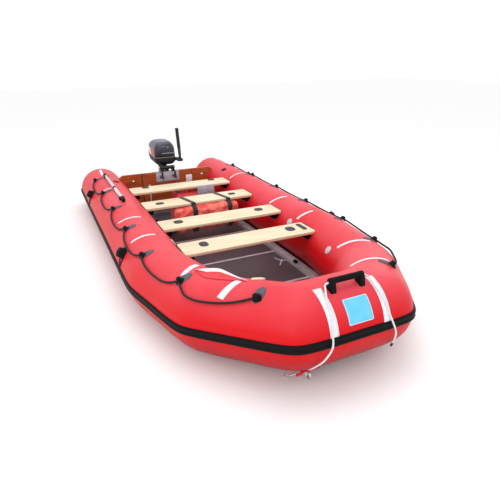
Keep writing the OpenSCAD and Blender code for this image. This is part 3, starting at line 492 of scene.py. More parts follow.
# ---- Rowlock blocks
# Black moulded rubber: a drop-shaped base glued to the tube, and a tapered block with a
# 20 mm hole for the rowlock's pin.
blocks = bmesh.new()
rowlock_angle = 33
for x in (-1.190, 0.560):
    before = set(blocks.verts)
    outline = [(-0.044, 0.040), (-0.056, 0), (-0.050, -0.030), (-0.014, -0.104), (0.014, -0.104), (0.050, -0.030),
               (0.056, 0), (0.044, 0.040)]
    base = blocks.faces.new([blocks.verts.new((px, py, 0)) for px, py in outline])
    lifted = bmesh.ops.extrude_face_region(blocks, geom=[base])["geom"]
    top = [g for g in lifted if isinstance(g, bmesh.types.BMVert)]
    bmesh.ops.translate(blocks, verts=top, vec=(0, 0, 0.008))
    edges = {e for v in blocks.verts if v not in before for e in v.link_edges}
    bevelled(blocks, edges, 0.003, 3)
    turned(blocks, [(0.010, 0), (0.010, 0.0095), (0.045, 0.010), (0.046, 0.013), (0.046, 0.027), (0.043, 0.0315),
                    (0.030, 0.034), (0.012, 0.0385), (0.006, 0.042), (0.002, 0.042)], (0, 0, 0), (0, 0, 1), 36)
    laid(blocks, 0, x - stern_x, rowlock_angle, 0, [v for v in blocks.verts if v not in before])
to_port(blocks)
hand_over(piece("rowlock_blocks", blocks, black_rubber), "boat", "black_rubber", "rowlocks")

# ---- Inflation valves
# Grey nylon valves, 62 mm across, screwed into the tube: a stepped ring with three studs
# round a flat cap. The aftmost pair on top of the tube is black.
light_valves, dark_valves = bmesh.new(), bmesh.new()
for mesh, i, s, angle in ((light_valves, 0, 2.469, 146), (dark_valves, 0, 0.689, 110), (light_valves, 1, 0.420, 146)):
    before = set(mesh.verts)
    turned(mesh, [(0, 0.031), (0.003, 0.031), (0.005, 0.029), (0.005, 0.024), (0.0035, 0.0225), (0.0035, 0.021),
                  (0.0055, 0.020), (0.006, 0.012), (0.006, 0)], (0, 0, 0), (0, 0, 1), 36)
    for k in range(3):
        turn_to = math.radians(120 * k)
        turned(mesh, [(0.0045, 0.0016), (0.0058, 0.0014), (0.0058, 0)],
               (0.0265 * math.cos(turn_to), 0.0265 * math.sin(turn_to), 0), (0, 0, 1), 8)
    laid(mesh, i, s, angle, 0, [v for v in mesh.verts if v not in before])
to_port(light_valves)
to_port(dark_valves)
# Moulded nylon: pale grey, faintly grained.
grey_nylon, shader, place = finish_named("grey_moulded_nylon", "#C9C6CC", 0.45)
rough_and_bump(shader, place, 140, 0.0006, 0.25, 0.36, 0.58)
hand_over(piece("grey_valves", light_valves, grey_nylon), "boat", "valve_metal", "valves")
hand_over(piece("black_valves", dark_valves, black_rubber), "boat", "valve_metal")

# ---- Bow handle
# A black moulded rubber grip, 220 mm long, on two feet glued to the top of the nose. Ribs
# round the grip keep a wet hand from slipping.
handle = bmesh.new()
half_grip, grip_z, handle_x = 0.110, 0.590, 2.000
profile = [(-half_grip, 0), (-half_grip, 0.014), (-half_grip + 0.004, 0.018), (-0.080, 0.018), (-0.076, 0.0155)]
for k in range(15):
    y = -0.070 + 0.010 * k
    profile += [(y - 0.0035, 0.0152), (y - 0.002, 0.0172), (y + 0.002, 0.0172), (y + 0.0035, 0.0152)]
profile += [(0.076, 0.0155), (0.080, 0.018), (half_grip - 0.004, 0.018), (half_grip, 0.014), (half_grip, 0)]
turned(handle, profile, (handle_x, 0, grip_z), (0, 1, 0), 32)


def block(mesh, low, high, radius, segments=3):
    """Adds a box with rounded edges between two corners, and gives its vertices."""
    before, low, high = set(mesh.verts), Vector(low), Vector(high)
    box = Matrix.Translation((low + high) / 2) @ Matrix.Diagonal((*(high - low), 1))
    made = bmesh.ops.create_cube(mesh, size=1, matrix=box)["verts"]
    bevelled(mesh, {e for v in made for e in v.link_edges}, radius, segments)
    return [v for v in mesh.verts if v not in before]


for y in (-0.094, 0.094):
    foot = block(handle, (handle_x - 0.022, y - 0.015, 0.520), (handle_x + 0.022, y + 0.015, 0.596), 0.006)
    for v in foot:
        spread_out = max(0.0, (0.560 - v.co.z) / 0.040)
        v.co.x = handle_x + (v.co.x - handle_x) * (1 + 0.5 * spread_out)
        v.co.y = y + (v.co.y - y) * (1 + 0.35 * spread_out)
hand_over(piece("bow_grab_handle", handle, black_rubber), "boat", "black_rubber", "bow_handle")

# ---- Tow ring and snap hook
# A stainless ring, 10 mm rod, held by a glued red patch low on the starboard side of the nose.
# A steel snap hook with a short red tab hangs from the end of the bow rope.
def ring_round(mesh, centre, axis, radius, rod, steps=40):
    """A closed ring of round rod."""
    centre, axis = Vector(centre), Vector(axis).normalized()
    aside = axis.orthogonal().normalized()
    rod_points = [mesh.verts.new(centre + aside * (radius + rod * math.cos(a)) + axis * rod * math.sin(a))
                  for a in (2 * math.pi * k / 16 for k in range(16))]
    edges = [mesh.edges.new((rod_points[k], rod_points[(k + 1) % 16])) for k in range(16)]
    bmesh.ops.spin(mesh, geom=rod_points + edges, cent=centre, axis=axis, angle=2 * math.pi, steps=steps,
                   use_merge=True)
    bmesh.ops.remove_doubles(mesh, verts=mesh.verts, dist=1e-6)


ring_angle = -60
ring_at = on_tube(3, 0.010, ring_angle, 0.028)
out_of_tube = (on_tube(3, 0.010, ring_angle, 1) - on_tube(3, 0.010, ring_angle)).normalized()
rod_ring = bmesh.new()
ring_round(rod_ring, ring_at, headings[3].cross(out_of_tube).cross(out_of_tube), 0.022, 0.005)
hook_low = on_tube(3, 0.004, -52, 0.030) + Vector((-0.045, -0.090, 0.006))
ring_round(rod_ring, hook_low + Vector((0.004, -0.034, 0.004)), (0.5, 0.2, 1), 0.013, 0.0025, 28)
turned(rod_ring, [(0, 0), (0, 0.005), (0.004, 0.006), (0.012, 0.0045), (0.030, 0.0045), (0.038, 0.006),
                  (0.042, 0.005), (0.042, 0)], hook_low + Vector((0, -0.020, 0)), (0.1, 1, 0.1), 20)
# Stainless steel: polished, with a fine unevenness that breaks the highlights.
steel, shader, place = finish_named("polished_stainless_steel", "#C9C9CC", 0.25, Metallic=1.0)
rough_and_bump(shader, place, 160, 0.0004, 0.3, 0.18, 0.4)
hand_over(piece("tow_ring_and_snap_hook", rod_ring, steel), "boat", "steel", "tow_ring")
ring_patch = bmesh.new()
rounded_plate(ring_patch, 0.110, 0.110, 0.050, 0.008, 6)
laid(ring_patch, 3, 0.030, ring_angle, 0.001)
tab = block(ring_patch, (-0.004, -0.022, -0.009), (0.004, 0.022, 0.009), 0.003)
bmesh.ops.translate(ring_patch, verts=tab, vec=hook_low + Vector((0.004, 0.045, -0.010)))
hand_over(piece("tow_ring_patch", ring_patch, red_pvc), "boat", "patch_rubber")

# ---- Bottom
# A shallow V of grey PVC-coated fabric welded to the undersides of the tubes, with a black
# rubber strip along its keel. Both keep the frame's own shapes.
def surface(material, *names):
    """Gives nodes of the frame, kept as they are, their material."""
    for name in names:
        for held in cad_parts[name].material_slots:
            held.material = material


# Coated fabric: dull grey, with a fine grain about 4 mm across, and scrapes along the boat.
grey_pvc, shader, place = finish_named("grey_pvc_coated_polyester", "#4A4C52", 0.55)
rough_and_bump(shader, place, 250, 0.0008, 0.3, 0.45, 0.7)
drawn_out = add(shader, "Mapping", {"Vector": place, "Scale": (2, 30, 30)})
scrapes = add(shader, "TexNoise", {"Vector": drawn_out, "Scale": 1.5, "Detail": 6})
wire(shader, {"Base Color": add(shader, "Mix", {0: scrapes, 6: "#3B3D42", 7: "#63656B"}, data_type="RGBA")})
surface(grey_pvc, "hull_bottom")
surface(black_rubber, "keel_strip")

# ---- Floor
# Five loose boards of 12 mm film-faced plywood, dark brown with a wire-mesh print that grips
# a shoe. Extruded aluminium strips join them, and a stringer clamps each side.
film_ply, shader, place = finish_named("film_faced_plywood", "#4B3A40", 0.42, Specular_IOR_Level=0.4)
# The wire mesh is pressed in at about 3 mm; it is drawn at 16 mm so that it shows.
mesh_x = add(shader, "TexWave", {"Vector": place, "Scale": 1 / 0.05}, bands_direction="X", wave_profile="SIN")
mesh_y = add(shader, "TexWave", {"Vector": place, "Scale": 1 / 0.05}, bands_direction="Y", wave_profile="SIN")
crossed = add(shader, "Math", {0: mesh_x, 1: mesh_y}, operation="MAXIMUM")
wire(shader, {"Normal": add(shader, "Bump", {"Height": crossed, "Distance": 0.001, "Strength": 0.35})})
dust_and_sheen_noise = add(shader, "TexNoise", {"Vector": place, "Scale": 5, "Detail": 7, "Roughness": 0.65})
wire(shader, {"Base Color": add(shader, "Mix", {0: dust_and_sheen_noise, 6: "#3C2D34", 7: "#6B5960"}, data_type="RGBA")})
wire(shader, {"Roughness": add(shader, "MapRange", {"Value": dust_and_sheen_noise, "To Min": 0.3, "To Max": 0.6})})
surface(film_ply, "floor_boards")
# Anodised aluminium: extruded, so fine lines run along it; satin, with scuffed dull patches.
aluminium, shader, place = finish_named("anodised_aluminium_extrusion", "#C6C0C8", 0.4, Metallic=0.35)
drawn_out = add(shader, "Mapping", {"Vector": place, "Scale": (4, 300, 300)})
drawn = add(shader, "TexNoise", {"Vector": drawn_out, "Scale": 1, "Detail": 3})
wire(shader, {"Roughness": add(shader, "MapRange", {"Value": drawn, "To Min": 0.3, "To Max": 0.55})})
wire(shader, {"Normal": add(shader, "Bump", {"Height": drawn, "Distance": 0.0005, "Strength": 0.3})})
clouded(shader, place, 14, 4, "#B9B2BC", "#EDE8EE")
surface(aluminium, "floor_joiners", "stringers")

# Each stringer carries a small black stop, and a three-armed alloy clip lies by the port one.
stringer_bits = bmesh.new()
block(stringer_bits, (0.715, 0.452, 0.0545), (0.752, 0.482, 0.078), 0.005)
block(stringer_bits, (-0.310, -0.478, 0.0545), (-0.273, -0.448, 0.078), 0.005)
hand_over(piece("stringer_stops", stringer_bits, black_rubber), "boat", "black_rubber")
clip = bmesh.new()
for reach, turn_to in ((0.085, 200), (0.075, 85), (0.090, 322)):
    arm = block(clip, (0, -0.006, 0), (reach, 0.006, 0.007), 0.002)
    bmesh.ops.rotate(clip, verts=arm, cent=(0, 0, 0), matrix=Matrix.Rotation(math.radians(turn_to), 3, "Z"))
turned(clip, [(0, 0), (0, 0.013), (0.010, 0.013), (0.012, 0.010), (0.012, 0)], (0, 0, 0.001), (0, 0, 1), 24)
bmesh.ops.translate(clip, verts=clip.verts, vec=(0.590, 0.412, 0.0205))
hand_over(piece("floor_clip", clip, aluminium), "boat", "aluminium")

# ---- Transom
# A 28 mm mahogany plywood board, varnished, with a doubler glued on inside and a pale
# plastic pad on each face where the motor clamps.
# Varnished plywood: red-brown, long grain across the boat, darker pores, a glossy coat.
mahogany, shader, place = finish_named("varnished_mahogany_plywood", "#8E3A15", 0.4, Coat_Weight=0.35,
                                       Coat_Roughness=0.18)
stretched = add(shader, "Mapping", {"Vector": place, "Scale": (9, 1.4, 24)})
figure = add(shader, "TexNoise", {"Vector": stretched, "Scale": 4, "Detail": 8, "Distortion": 0.6})
drawn_out = add(shader, "Mapping", {"Vector": place, "Scale": (60, 6, 220)})
pores = add(shader, "TexNoise", {"Vector": drawn_out, "Scale": 2, "Detail": 3})
ramp = add(shader, "ValToRGB", {"Fac": figure})
for stop, (at, code) in zip(ramp.color_ramp.elements, ((0.3, "#92350F"), (0.72, "#CE6A2E"))):
    stop.position, stop.color = at, colour(code)
darker = add(shader, "MapRange", {"Value": pores, "From Min": 0.35, "From Max": 0.6, "To Min": 0.7, "To Max": 1.0})
wire(shader, {"Base Color": add(shader, "Mix", {0: darker, 6: "#64210B", 7: ramp}, data_type="RGBA")})
wire(shader, {"Normal": add(shader, "Bump", {"Height": pores, "Distance": 0.0006, "Strength": 0.25})})
surface(mahogany, "transom", "transom_doubler")

# Moulded pads: pale lilac-grey, with a raised rim that keeps the clamps from creeping up.
pad_plastic, shader, place = finish_named("grey_moulded_polypropylene", "#BDB6C4", 0.5)
rough_and_bump(shader, place, 110, 0.0007, 0.3, 0.42, 0.66)
clouded(shader, place, 26, 5, "#A49CAE", "#D2CDD8")
pads = bmesh.new()
pad_face, pad_half, pad_foot, pad_top = -1.4866, 0.141, 0.323, 0.435
block(pads, (-1.493, -pad_half, pad_foot), (-1.4865, pad_half, pad_top), 0.002)
for low, high in ((0.429, pad_top), (pad_foot, 0.328)):
    block(pads, (pad_face, -pad_half, low), (-1.485, pad_half, high), 0.0006, 2)
block(pads, (-1.541, -0.165, 0.195), (-1.533, 0.165, pad_top), 0.002)
for y, z in ((-0.128, 0.338), (0.128, 0.338), (-0.128, 0.418), (0.128, 0.418), (0, 0.338)):
    turned(pads, [(0, 0.006), (0.0012, 0.005), (0.0016, 0)], (pad_face, y, z), (1, 0, 0), 16)
hand_over(piece("motor_clamp_pads", pads, pad_plastic), "boat", "grey_plastic", "motor_pads")

# Stainless bolts hold the board to the tubes' flanges, and a small blank white plate and a
# pale strip are stuck to its inner face. Two dark joints show where the outer panels begin.
bolts = bmesh.new()
for y, z in ((-0.411, 0.350), (0.438, 0.350), (-0.411, 0.170), (0.438, 0.170)):
    turned(bolts, [(0, 0.017), (0.0015, 0.017), (0.002, 0.010), (0.005, 0.009), (0.008, 0.006), (0.009, 0)],
           (-1.5052, y, z), (1, 0, 0), 24)
hand_over(piece("transom_bolts", bolts, steel), "boat", "steel")
plates = bmesh.new()
block(plates, (-1.4935, 0.227, 0.284), (-1.4905, 0.304, 0.369), 0.001, 2)
block(plates, (-1.4935, -0.232, 0.092), (-1.4895, -0.220, 0.300), 0.001, 2)
hand_over(piece("transom_plate_and_strip", plates, white_tape), "boat", "tube_fabric")
joints = bmesh.new()
for y in (-0.306, 0.3055):
    block(joints, (-1.5055, y - 0.003, 0.060), (-1.4990, y + 0.003, 0.434), 0.001, 2)
hand_over(piece("transom_joint_beads", joints, black_rubber), "boat", "transom_ply")

# ---- Thwarts
# Four plank seats of 24 mm birch plywood, clear-lacquered, with rounded corners and eased
# edges, held at their ends in black moulded brackets.
def on_plate(mesh, verts, at, ease):
    """Eases a plate's sharp edges, then moves it to its place."""
    edges = {e for v in verts for e in v.link_edges if len(e.link_faces) == 2 and e.calc_face_angle(0) > 1.2}
    before = set(mesh.verts) - set(verts)
    bevelled(mesh, edges, ease, 2)
    new = [v for v in mesh.verts if v not in before]
    bmesh.ops.translate(mesh, verts=new, vec=at)


seat_top, seat_thick, seat_wide, seat_half = 0.390, 0.024, 0.235, 0.550
seat_front = (-0.850, -0.275, 0.337, 0.903)
seats = bmesh.new()
for front in seat_front:
    half = seat_half if front < 0.8 else 0.545
    board = rounded_plate(seats, seat_wide, 2 * half, 0.022, seat_thick)
    on_plate(seats, board, (front - seat_wide / 2, 0, seat_top - seat_thick / 2), 0.003)
# Lacquered birch: cream, long faint grain across the boat, and pale and dark plies that show
# on the sawn edges. The lacquer is satin, a little uneven along the grain.
birch, shader, place = finish_named("lacquered_birch_plywood", "#F3E3C4", 0.42, Specular_IOR_Level=0.35)
long_way = add(shader, "Mapping", {"Vector": place, "Scale": (30, 1.6, 30)})
figure = add(shader, "TexNoise", {"Vector": long_way, "Scale": 2.2, "Detail": 7, "Distortion": 0.8})
ramp = add(shader, "ValToRGB", {"Fac": figure})
for stop, (at, code) in zip(ramp.color_ramp.elements, ((0.3, "#DCC39B"), (0.62, "#EEDDC1"))):
    stop.position, stop.color = at, colour(code)
plies = add(shader, "TexWave", {"Vector": place, "Scale": 1 / 0.0205, "Distortion": 0.3}, bands_direction="Z")
facing = add(shader, "SeparateXYZ", {0: add(shader, "NewGeometry").outputs["Normal"]})
flat_on = add(shader, "Math", {0: facing.outputs["Z"]}, operation="ABSOLUTE")
edge_on = add(shader, "MapRange", {"Value": flat_on, "From Min": 0.2, "From Max": 0.7, "To Min": 0.45, "To Max": 0.0})
ply_amount = add(shader, "Math", {0: plies, 1: edge_on}, operation="MULTIPLY")
wire(shader, {"Base Color": add(shader, "Mix", {0: ply_amount, 6: ramp, 7: "#A9753F"}, data_type="RGBA")})
wire(shader, {"Roughness": add(shader, "MapRange", {"Value": figure, "To Min": 0.3, "To Max": 0.52})})
wire(shader, {"Normal": add(shader, "Bump", {"Height": figure, "Distance": 0.0006, "Strength": 0.3})})
hand_over(piece("plank_seats", seats, birch), "boat", "thwart_ply", "thwarts")
surface(black_rubber, "thwart_brackets", "oar_clips")

# Dark grey rubber grips are stuck on top of each board near its ends.
grips = bmesh.new()
for low_x, high_x, low_y, high_y in ((-1068, -1005, -414, -339), (-1068, -1005, 346, 424), (-422, -363, -429, -347),
                                     (-422, -363, 326, 401), (165, 238, -425, -345), (165, 238, 339, 416),
                                     (721, 809, -395, -328), (730, 819, 342, 417), (700, 840, 469, 508)):
    long, wide = (high_x - low_x) / 1000, (high_y - low_y) / 1000
    pad = rounded_plate(grips, long, wide, min(long, wide) * 0.42, 0.005)
    on_plate(grips, pad, ((low_x + high_x) / 2000, (low_y + high_y) / 2000, seat_top + 0.0022), 0.0015)
dark_rubber, shader, place = finish_named("dark_grey_ribbed_rubber", "#2C2E33", 0.65)
ribs = add(shader, "TexWave", {"Vector": place, "Scale": 1 / 0.024}, bands_direction="X")
wire(shader, {"Normal": add(shader, "Bump", {"Height": ribs, "Distance": 0.0015, "Strength": 0.6})})
clouded(shader, place, 40, 4, "#222428", "#44474E")
hand_over(piece("seat_grip_pads", grips, dark_rubber), "boat", "black_rubber")

# ---- Bow flap
# A small flap of the tube's red fabric, welded along the top of the starboard bow tube. Its free
# edge stands up, with a white hem that is broad aft and runs forward to a small wooden toggle.
held_edge = smooth_route([on_tube(1, 0.50, 90, 0.002), on_tube(1, 0.58, 88, 0.002), on_tube(2, 0.04, 88, 0.002),
                          on_tube(2, 0.14, 89, 0.002), on_tube(2, 0.23, 92, 0.002), on_tube(2, 0.30, 94, 0.002)], 5)
free_edge = smooth_route([Vector(p) for p in ((1.333, -0.622, 0.480), (1.385, -0.560, 0.496), (1.441, -0.504, 0.506),
                                              (1.520, -0.475, 0.508), (1.600, -0.448, 0.510),
                                              (1.664, -0.420, 0.513))], 5)


def between(a, b, u, v):
    """A point of the flap: u along it, v from the held edge to the free one."""
    k = u * (len(a) - 1)
    i = min(int(k), len(a) - 2)
    start, end = (e[i].lerp(e[i + 1], k - i) for e in (a, b))
    crease = noise.noise(Vector((u * 9, v * 3, 0.5))) * 0.006 * math.sin(math.pi * u)
    return start.lerp(end, v) - Vector((0, 0, math.sin(math.pi * v) * (0.002 + crease / 2)))


flap, hem = bmesh.new(), bmesh.new()
for mesh, cuts, v0, v1, lift in ((flap, 10, 0, 1, 0), (hem, 3, 0.80, 1.04, 0.0015)):
    bmesh.ops.create_grid(mesh, x_segments=30, y_segments=cuts, size=1)
    for v in mesh.verts:
        u, w = (v.co.x + 1) / 2, (v.co.y + 1) / 2
        broad = max(0, 0.22 - abs(u - 0.25)) if mesh is hem else 0
        w = v0 - broad + (v1 - v0 + broad) * w
        v.co = between(held_edge, free_edge, u, w) + Vector((0, 0, lift))
    bmesh.ops.recalc_face_normals(mesh, faces=mesh.faces)
for mesh, thick in ((flap, 0.0012), (hem, 0.0035)):
    bmesh.ops.solidify(mesh, geom=list(mesh.faces), thickness=thick)
flap_hem = hand_over(piece("bow_flap_hem", hem, white_tape), "boat", "tube_fabric")
bow_flap = hand_over(piece("bow_flap", flap, red_pvc), "boat", "tube_fabric")
toggle = bmesh.new()
turned(toggle, [(0, 0), (0.002, 0.007), (0.012, 0.009), (0.040, 0.0105), (0.070, 0.009), (0.082, 0.006), (0.085, 0)],
       (1.662, -0.398, 0.514), (0.20, 0.97, -0.10), 20)
hand_over(piece("bow_flap_toggle", toggle, birch), "boat", "thwart_ply")

# ---- Oar
# The shaft of an oar stowed on the starboard tube: a 32 mm anodised aluminium tube with a
# black grip at the stern end, a collar, and a black ferrule at the front end.
shaft, sleeves = bmesh.new(), bmesh.new()
oar_long, oar_end = 1.150, (-1.535, -half_spacing, 0.469)
turned(shaft, [(0.10, 0.012), (0.10, 0.0162), (0.690, 0.0162), (1.060, 0.0162), (1.060, 0.012)], oar_end, (1, 0, 0), 32)
turned(sleeves, [(0, 0), (0, 0.013), (0.004, 0.0165), (0.030, 0.017), (0.110, 0.017), (0.114, 0.0163), (0.114, 0.010)],
       oar_end, (1, 0, 0), 32)
turned(sleeves, [(0.640, 0.0155), (0.640, 0.017), (0.690, 0.017), (0.690, 0.0155)], oar_end, (1, 0, 0), 32)
turned(sleeves, [(1.040, 0.010), (1.040, 0.0163), (1.046, 0.017), (1.140, 0.017), (oar_long, 0.013), (oar_long, 0)],
       oar_end, (1, 0, 0), 32)
hand_over(piece("oar_shaft_tube", shaft, aluminium), "boat", "aluminium", "oar_shaft")
hand_over(piece("oar_sleeves", sleeves, black_rubber), "boat", "black_rubber")

# ---- Fuel tank
# A red blow-moulded polyethylene tank under the aftmost seat: rounded, with moulded bands,
# a grab handle across the top, a black screw cap and a fuel connector.
tank = bmesh.new()
block(tank, (-1.090, -0.085, 0.021), (-0.860, 0.305, 0.318), 0.040, 6)
for y in (0.000, 0.075, 0.150, 0.225):
    block(tank, (-1.0935, y - 0.012, 0.045), (-0.8565, y + 0.012, 0.3205), 0.010, 3)
for y in (0.030, 0.190):
    block(tank, (-0.935, y, 0.312), (-0.895, y + 0.030, 0.352), 0.010)
block(tank, (-0.933, 0.035, 0.334), (-0.897, 0.215, 0.354), 0.009)
polyethylene, shader, place = finish_named("red_blow_moulded_polyethylene", "#C5161A", 0.45, Specular_IOR_Level=0.35)
rough_and_bump(shader, place, 130, 0.0008, 0.35, 0.38, 0.6)
clouded(shader, place, 12, 3, "#E0262E", "#FF6A70")
hand_over(piece("fuel_tank_body", tank, polyethylene), "boat", "tank_plastic", "fuel_tank")
cap = bmesh.new()
turned(cap, [(0, 0), (0, 0.031), (0.004, 0.034), (0.020, 0.0335), (0.026, 0.029), (0.0265, 0.010), (0.0265, 0)],
       (-1.010, 0.110, 0.318), (0, 0, 1), 36)
turned(cap, [(0, 0.012), (0.010, 0.012), (0.012, 0.008), (0.028, 0.007), (0.030, 0)], (-0.900, 0.262, 0.316),
       (0, 0, 1), 20)
hand_over(piece("fuel_tank_cap", cap, black_rubber), "boat", "black_rubber")

# A clear plastic pouch of papers hangs from the front edge of the aftmost seat.
pouch = bmesh.new()
block(pouch, (-0.846, 0.150, 0.286), (-0.840, 0.345, 0.392), 0.002, 2)
bmesh.ops.subdivide_edges(pouch, edges=list(pouch.edges), cuts=5, use_grid_fill=True)
for v in pouch.verts:
    rumple = noise.noise(v.co * 26) * 0.007 + noise.noise(v.co * 60) * 0.002
    fullness = math.sin(math.pi * (v.co.y - 0.150) / 0.195) * math.sin(math.pi * min(1, (v.co.z - 0.286) / 0.106))
    v.co.x += abs(rumple) + (0.010 * fullness if v.co.x > -0.843 else 0)
clear_film, shader, place = finish_named("clear_pvc_film", "#B9AEC2", 0.18, Alpha=0.82)
grain = rough_and_bump(shader, place, 45, 0.004, 0.6, 0.08, 0.35, 5)
wire(shader, {"Base Color": add(shader, "Mix", {0: grain, 6: "#8F8499", 7: "#E6E0EC"}, data_type="RGBA")})
hand_over(piece("paper_pouch", pouch, clear_film), "boat", "bag_fabric")

# ---- Bag under the second seat
# A red nylon bag strapped under the second seat. Soft gear fills it, so its sides belly out
# and its cloth creases round the two straps.
cloth_bag = bmesh.new()
bag_low, bag_high = Vector((-0.432, -0.272, 0.113)), Vector((-0.229, 0.362, 0.352))
middle, half_bag = (bag_low + bag_high) / 2, (bag_high - bag_low) / 2
block(cloth_bag, bag_low, bag_high, 0.030, 3)
bmesh.ops.subdivide_edges(cloth_bag, edges=[e for e in cloth_bag.edges if e.calc_length() > 0.05], cuts=14,
                          use_grid_fill=True)
strap_at = (-0.087, 0.277)
for v in cloth_bag.verts:
    q = (v.co - middle)
    r = Vector(abs(c) / h for c, h in zip(q, half_bag))
    v.co += v.normal * 0.006 * (noise.noise(v.co * 11) + 0.5 * noise.noise(v.co * 27))
    v.co.z -= 0.012 * r.y ** 4 if q.z > 0 else 0
bag = piece("strapped_bag", cloth_bag, red_pvc)
remesh = bag.modifiers.new("even_cloth", "REMESH")
remesh.mode, remesh.voxel_size = "VOXEL", 0.006
bpy.context.view_layer.objects.active = bag
bag.select_set(True)
bpy.ops.object.modifier_apply(modifier=remesh.name)
rest_shape = [v.co.copy() for v in bag.data.vertices]
cloth = bag.modifiers.new("filled", "CLOTH")
for setting, amount in (("quality", 6), ("mass", 0.2), ("tension_stiffness", 12), ("compression_stiffness", 4),
                        ("shear_stiffness", 5), ("bending_stiffness", 0.08), ("shrink_min", -0.10),
                        ("use_pressure", True), ("uniform_pressure_force", 4)):
    setattr(cloth.settings, setting, amount)
cloth.settings.effector_weights.gravity = 0
cloth.point_cache.frame_start, cloth.point_cache.frame_end = 1, 20
for frame_number in range(1, 21):
    bpy.context.scene.frame_set(frame_number)
bpy.ops.object.modifier_apply(modifier=cloth.name)
bpy.context.scene.frame_set(1)
for v, was in zip(bag.data.vertices, rest_shape):
    moved = v.co - was
    v.co = was + moved * min(1.0, 0.011 / max(moved.length, 1e-9))
# The straps' grooves and the creases that run away from them go in after the cloth has settled,
# inside the room that the seat and the straps leave.
room_low, room_high = (-0.444, -0.284, 0.102), (-0.2165, 0.374, 0.3645)
for v in bag.data.vertices:
    q = v.co - middle
    squeeze = sum(math.exp(-((v.co.y - y) / 0.030) ** 2) for y in strap_at)
    gather = sum(math.exp(-abs(v.co.y - y) / 0.11) * math.cos((q.z + 0.6 * abs(v.co.y - y)) * 105) for y in strap_at)
    slant = q.y * 0.8 - q.z * 0.9 + 0.05 * noise.noise(v.co * 5)
    fold = (0.0035 * gather + 0.0065 * math.sin(slant * 44)) * (1 - 0.8 * squeeze)
    fold += 0.004 * noise.noise(Vector((v.co.x * 8, v.co.y * 7, v.co.z * 20)))
    pull = Vector((q.x / half_bag.x, 0, 0.7 * q.z / half_bag.z))
    v.co -= pull * (0.008 * squeeze - fold)
    v.co = [min(max(c, low), high) for c, low, high in zip(v.co, room_low, room_high)]
finer = bag.modifiers.new("smooth_cloth", "SUBSURF")
finer.levels = finer.render_levels = 1
# Coated nylon: bright red-orange and thin; where the crumple noise raises the cloth it is painted paler, a painted
# highlight.
# Its plain weave is drawn at 6 mm so that it shows.
red_nylon, shader, place = finish_named("red_coated_nylon_cloth", "#DD2A1E", 0.5, Sheen_Weight=0.3)
weave_a = add(shader, "TexWave", {"Vector": place, "Scale": 1 / 0.019}, bands_direction="Y")
weave_b = add(shader, "TexWave", {"Vector": place, "Scale": 1 / 0.019}, bands_direction="Z")
woven = add(shader, "Math", {0: weave_a, 1: weave_b}, operation="MAXIMUM")
crumple = add(shader, "TexNoise", {"Vector": place, "Scale": 9, "Detail": 3, "Distortion": 1.2})
both_up = add(shader, "Math", {0: crumple, 1: 14.0, 2: woven}, operation="MULTIPLY_ADD")
wire(shader, {"Normal": add(shader, "Bump", {"Height": both_up, "Distance": 0.0005, "Strength": 0.5})})
# Painted highlight: the raised crumples are painted paler, up to #FF8672.
painted_crumple_highlight = add(shader, "MapRange", {"Value": crumple, "From Min": 0.35, "From Max": 0.68})
wire(shader, {"Base Color": add(shader, "Mix", {0: painted_crumple_highlight, 6: "#E02A26", 7: "#FF8672"}, data_type="RGBA")})
bag.data.materials[0] = red_nylon
hand_over(bag, "boat", "bag_fabric", "seat_bag")

# Two black webbing straps, 45 mm wide, pass over the seat and hold the bag up to it.
straps = bmesh.new()
for y in strap_at:
    route = [Vector(p) for p in ((-0.505, y - 0.058, 0.340), (-0.5145, y - 0.060, 0.372), (-0.5135, y - 0.060, 0.389),
                                 (-0.504, y - 0.058, 0.3925), (-0.400, y - 0.034, 0.3925),
                                 (-0.285, y - 0.006, 0.3925), (-0.2735, y - 0.003, 0.3905),
                                 (-0.2705, y - 0.001, 0.384), (-0.265, y, 0.366), (-0.240, y, 0.350),
                                 (-0.2195, y, 0.325), (-0.2155, y, 0.280), (-0.2150, y, 0.200), (-0.2160, y, 0.150),
                                 (-0.2230, y, 0.118), (-0.245, y, 0.101), (-0.300, y, 0.0985))]
    path = smooth_route(route, 4)
    laid_out = bmesh.ops.create_grid(straps, x_segments=len(path) - 1, y_segments=4, size=1)["verts"]
    for v in laid_out:
        at = path[round((v.co.x + 1) / 2 * (len(path) - 1))]
        v.co = at + Vector((0, v.co.y * 0.0225, 0))
bmesh.ops.recalc_face_normals(straps, faces=straps.faces)
bmesh.ops.solidify(straps, geom=list(straps.faces), thickness=0.0018)
# Polypropylene webbing: matt black, diagonal ribs drawn about 11 mm apart so that they show.
webbing, shader, place = finish_named("black_polypropylene_webbing", "#17171A", 0.75, Sheen_Weight=0.2)
twill = add(shader, "TexWave", {"Vector": place, "Scale": 1 / 0.03}, bands_direction="DIAGONAL")
wire(shader, {"Normal": add(shader, "Bump", {"Height": twill, "Distance": 0.001, "Strength": 0.6})})
hand_over(piece("bag_straps", straps, webbing), "boat", "bag_fabric")

# ---- Foot pump
# A round bellows pump on the floor: black rubber folds between two moulded plates, with an
# outlet on its side and a shallow tread in the top plate.
pump = bmesh.new()
folds = [(0.016, 0.122)]
for k in range(4):
    z = 0.020 + 0.034 * k
    folds += [(z, 0.104), (z + 0.006, 0.096), (z + 0.011, 0.096), (z + 0.024, 0.1235), (z + 0.029, 0.1235)]
foot_plate = [(0, 0), (0, 0.132), (0.003, 0.135), (0.013, 0.135), (0.016, 0.132)]
top_plate = [(0.156, 0.122), (0.156, 0.132), (0.159, 0.135), (0.167, 0.135), (0.170, 0.131), (0.170, 0.110),
             (0.166, 0.106), (0.166, 0.060), (0.169, 0.056), (0.169, 0)]
turned(pump, foot_plate + folds + top_plate, (-0.620, -0.310, 0.0205), (0, 0, 1), 64)
turned(pump, [(-0.02, 0.016), (0.010, 0.016), (0.012, 0.013), (0.026, 0.013), (0.028, 0.010), (0.028, 0)],
       (-0.500, -0.300, 0.118), (1, 0.1, 0), 20)
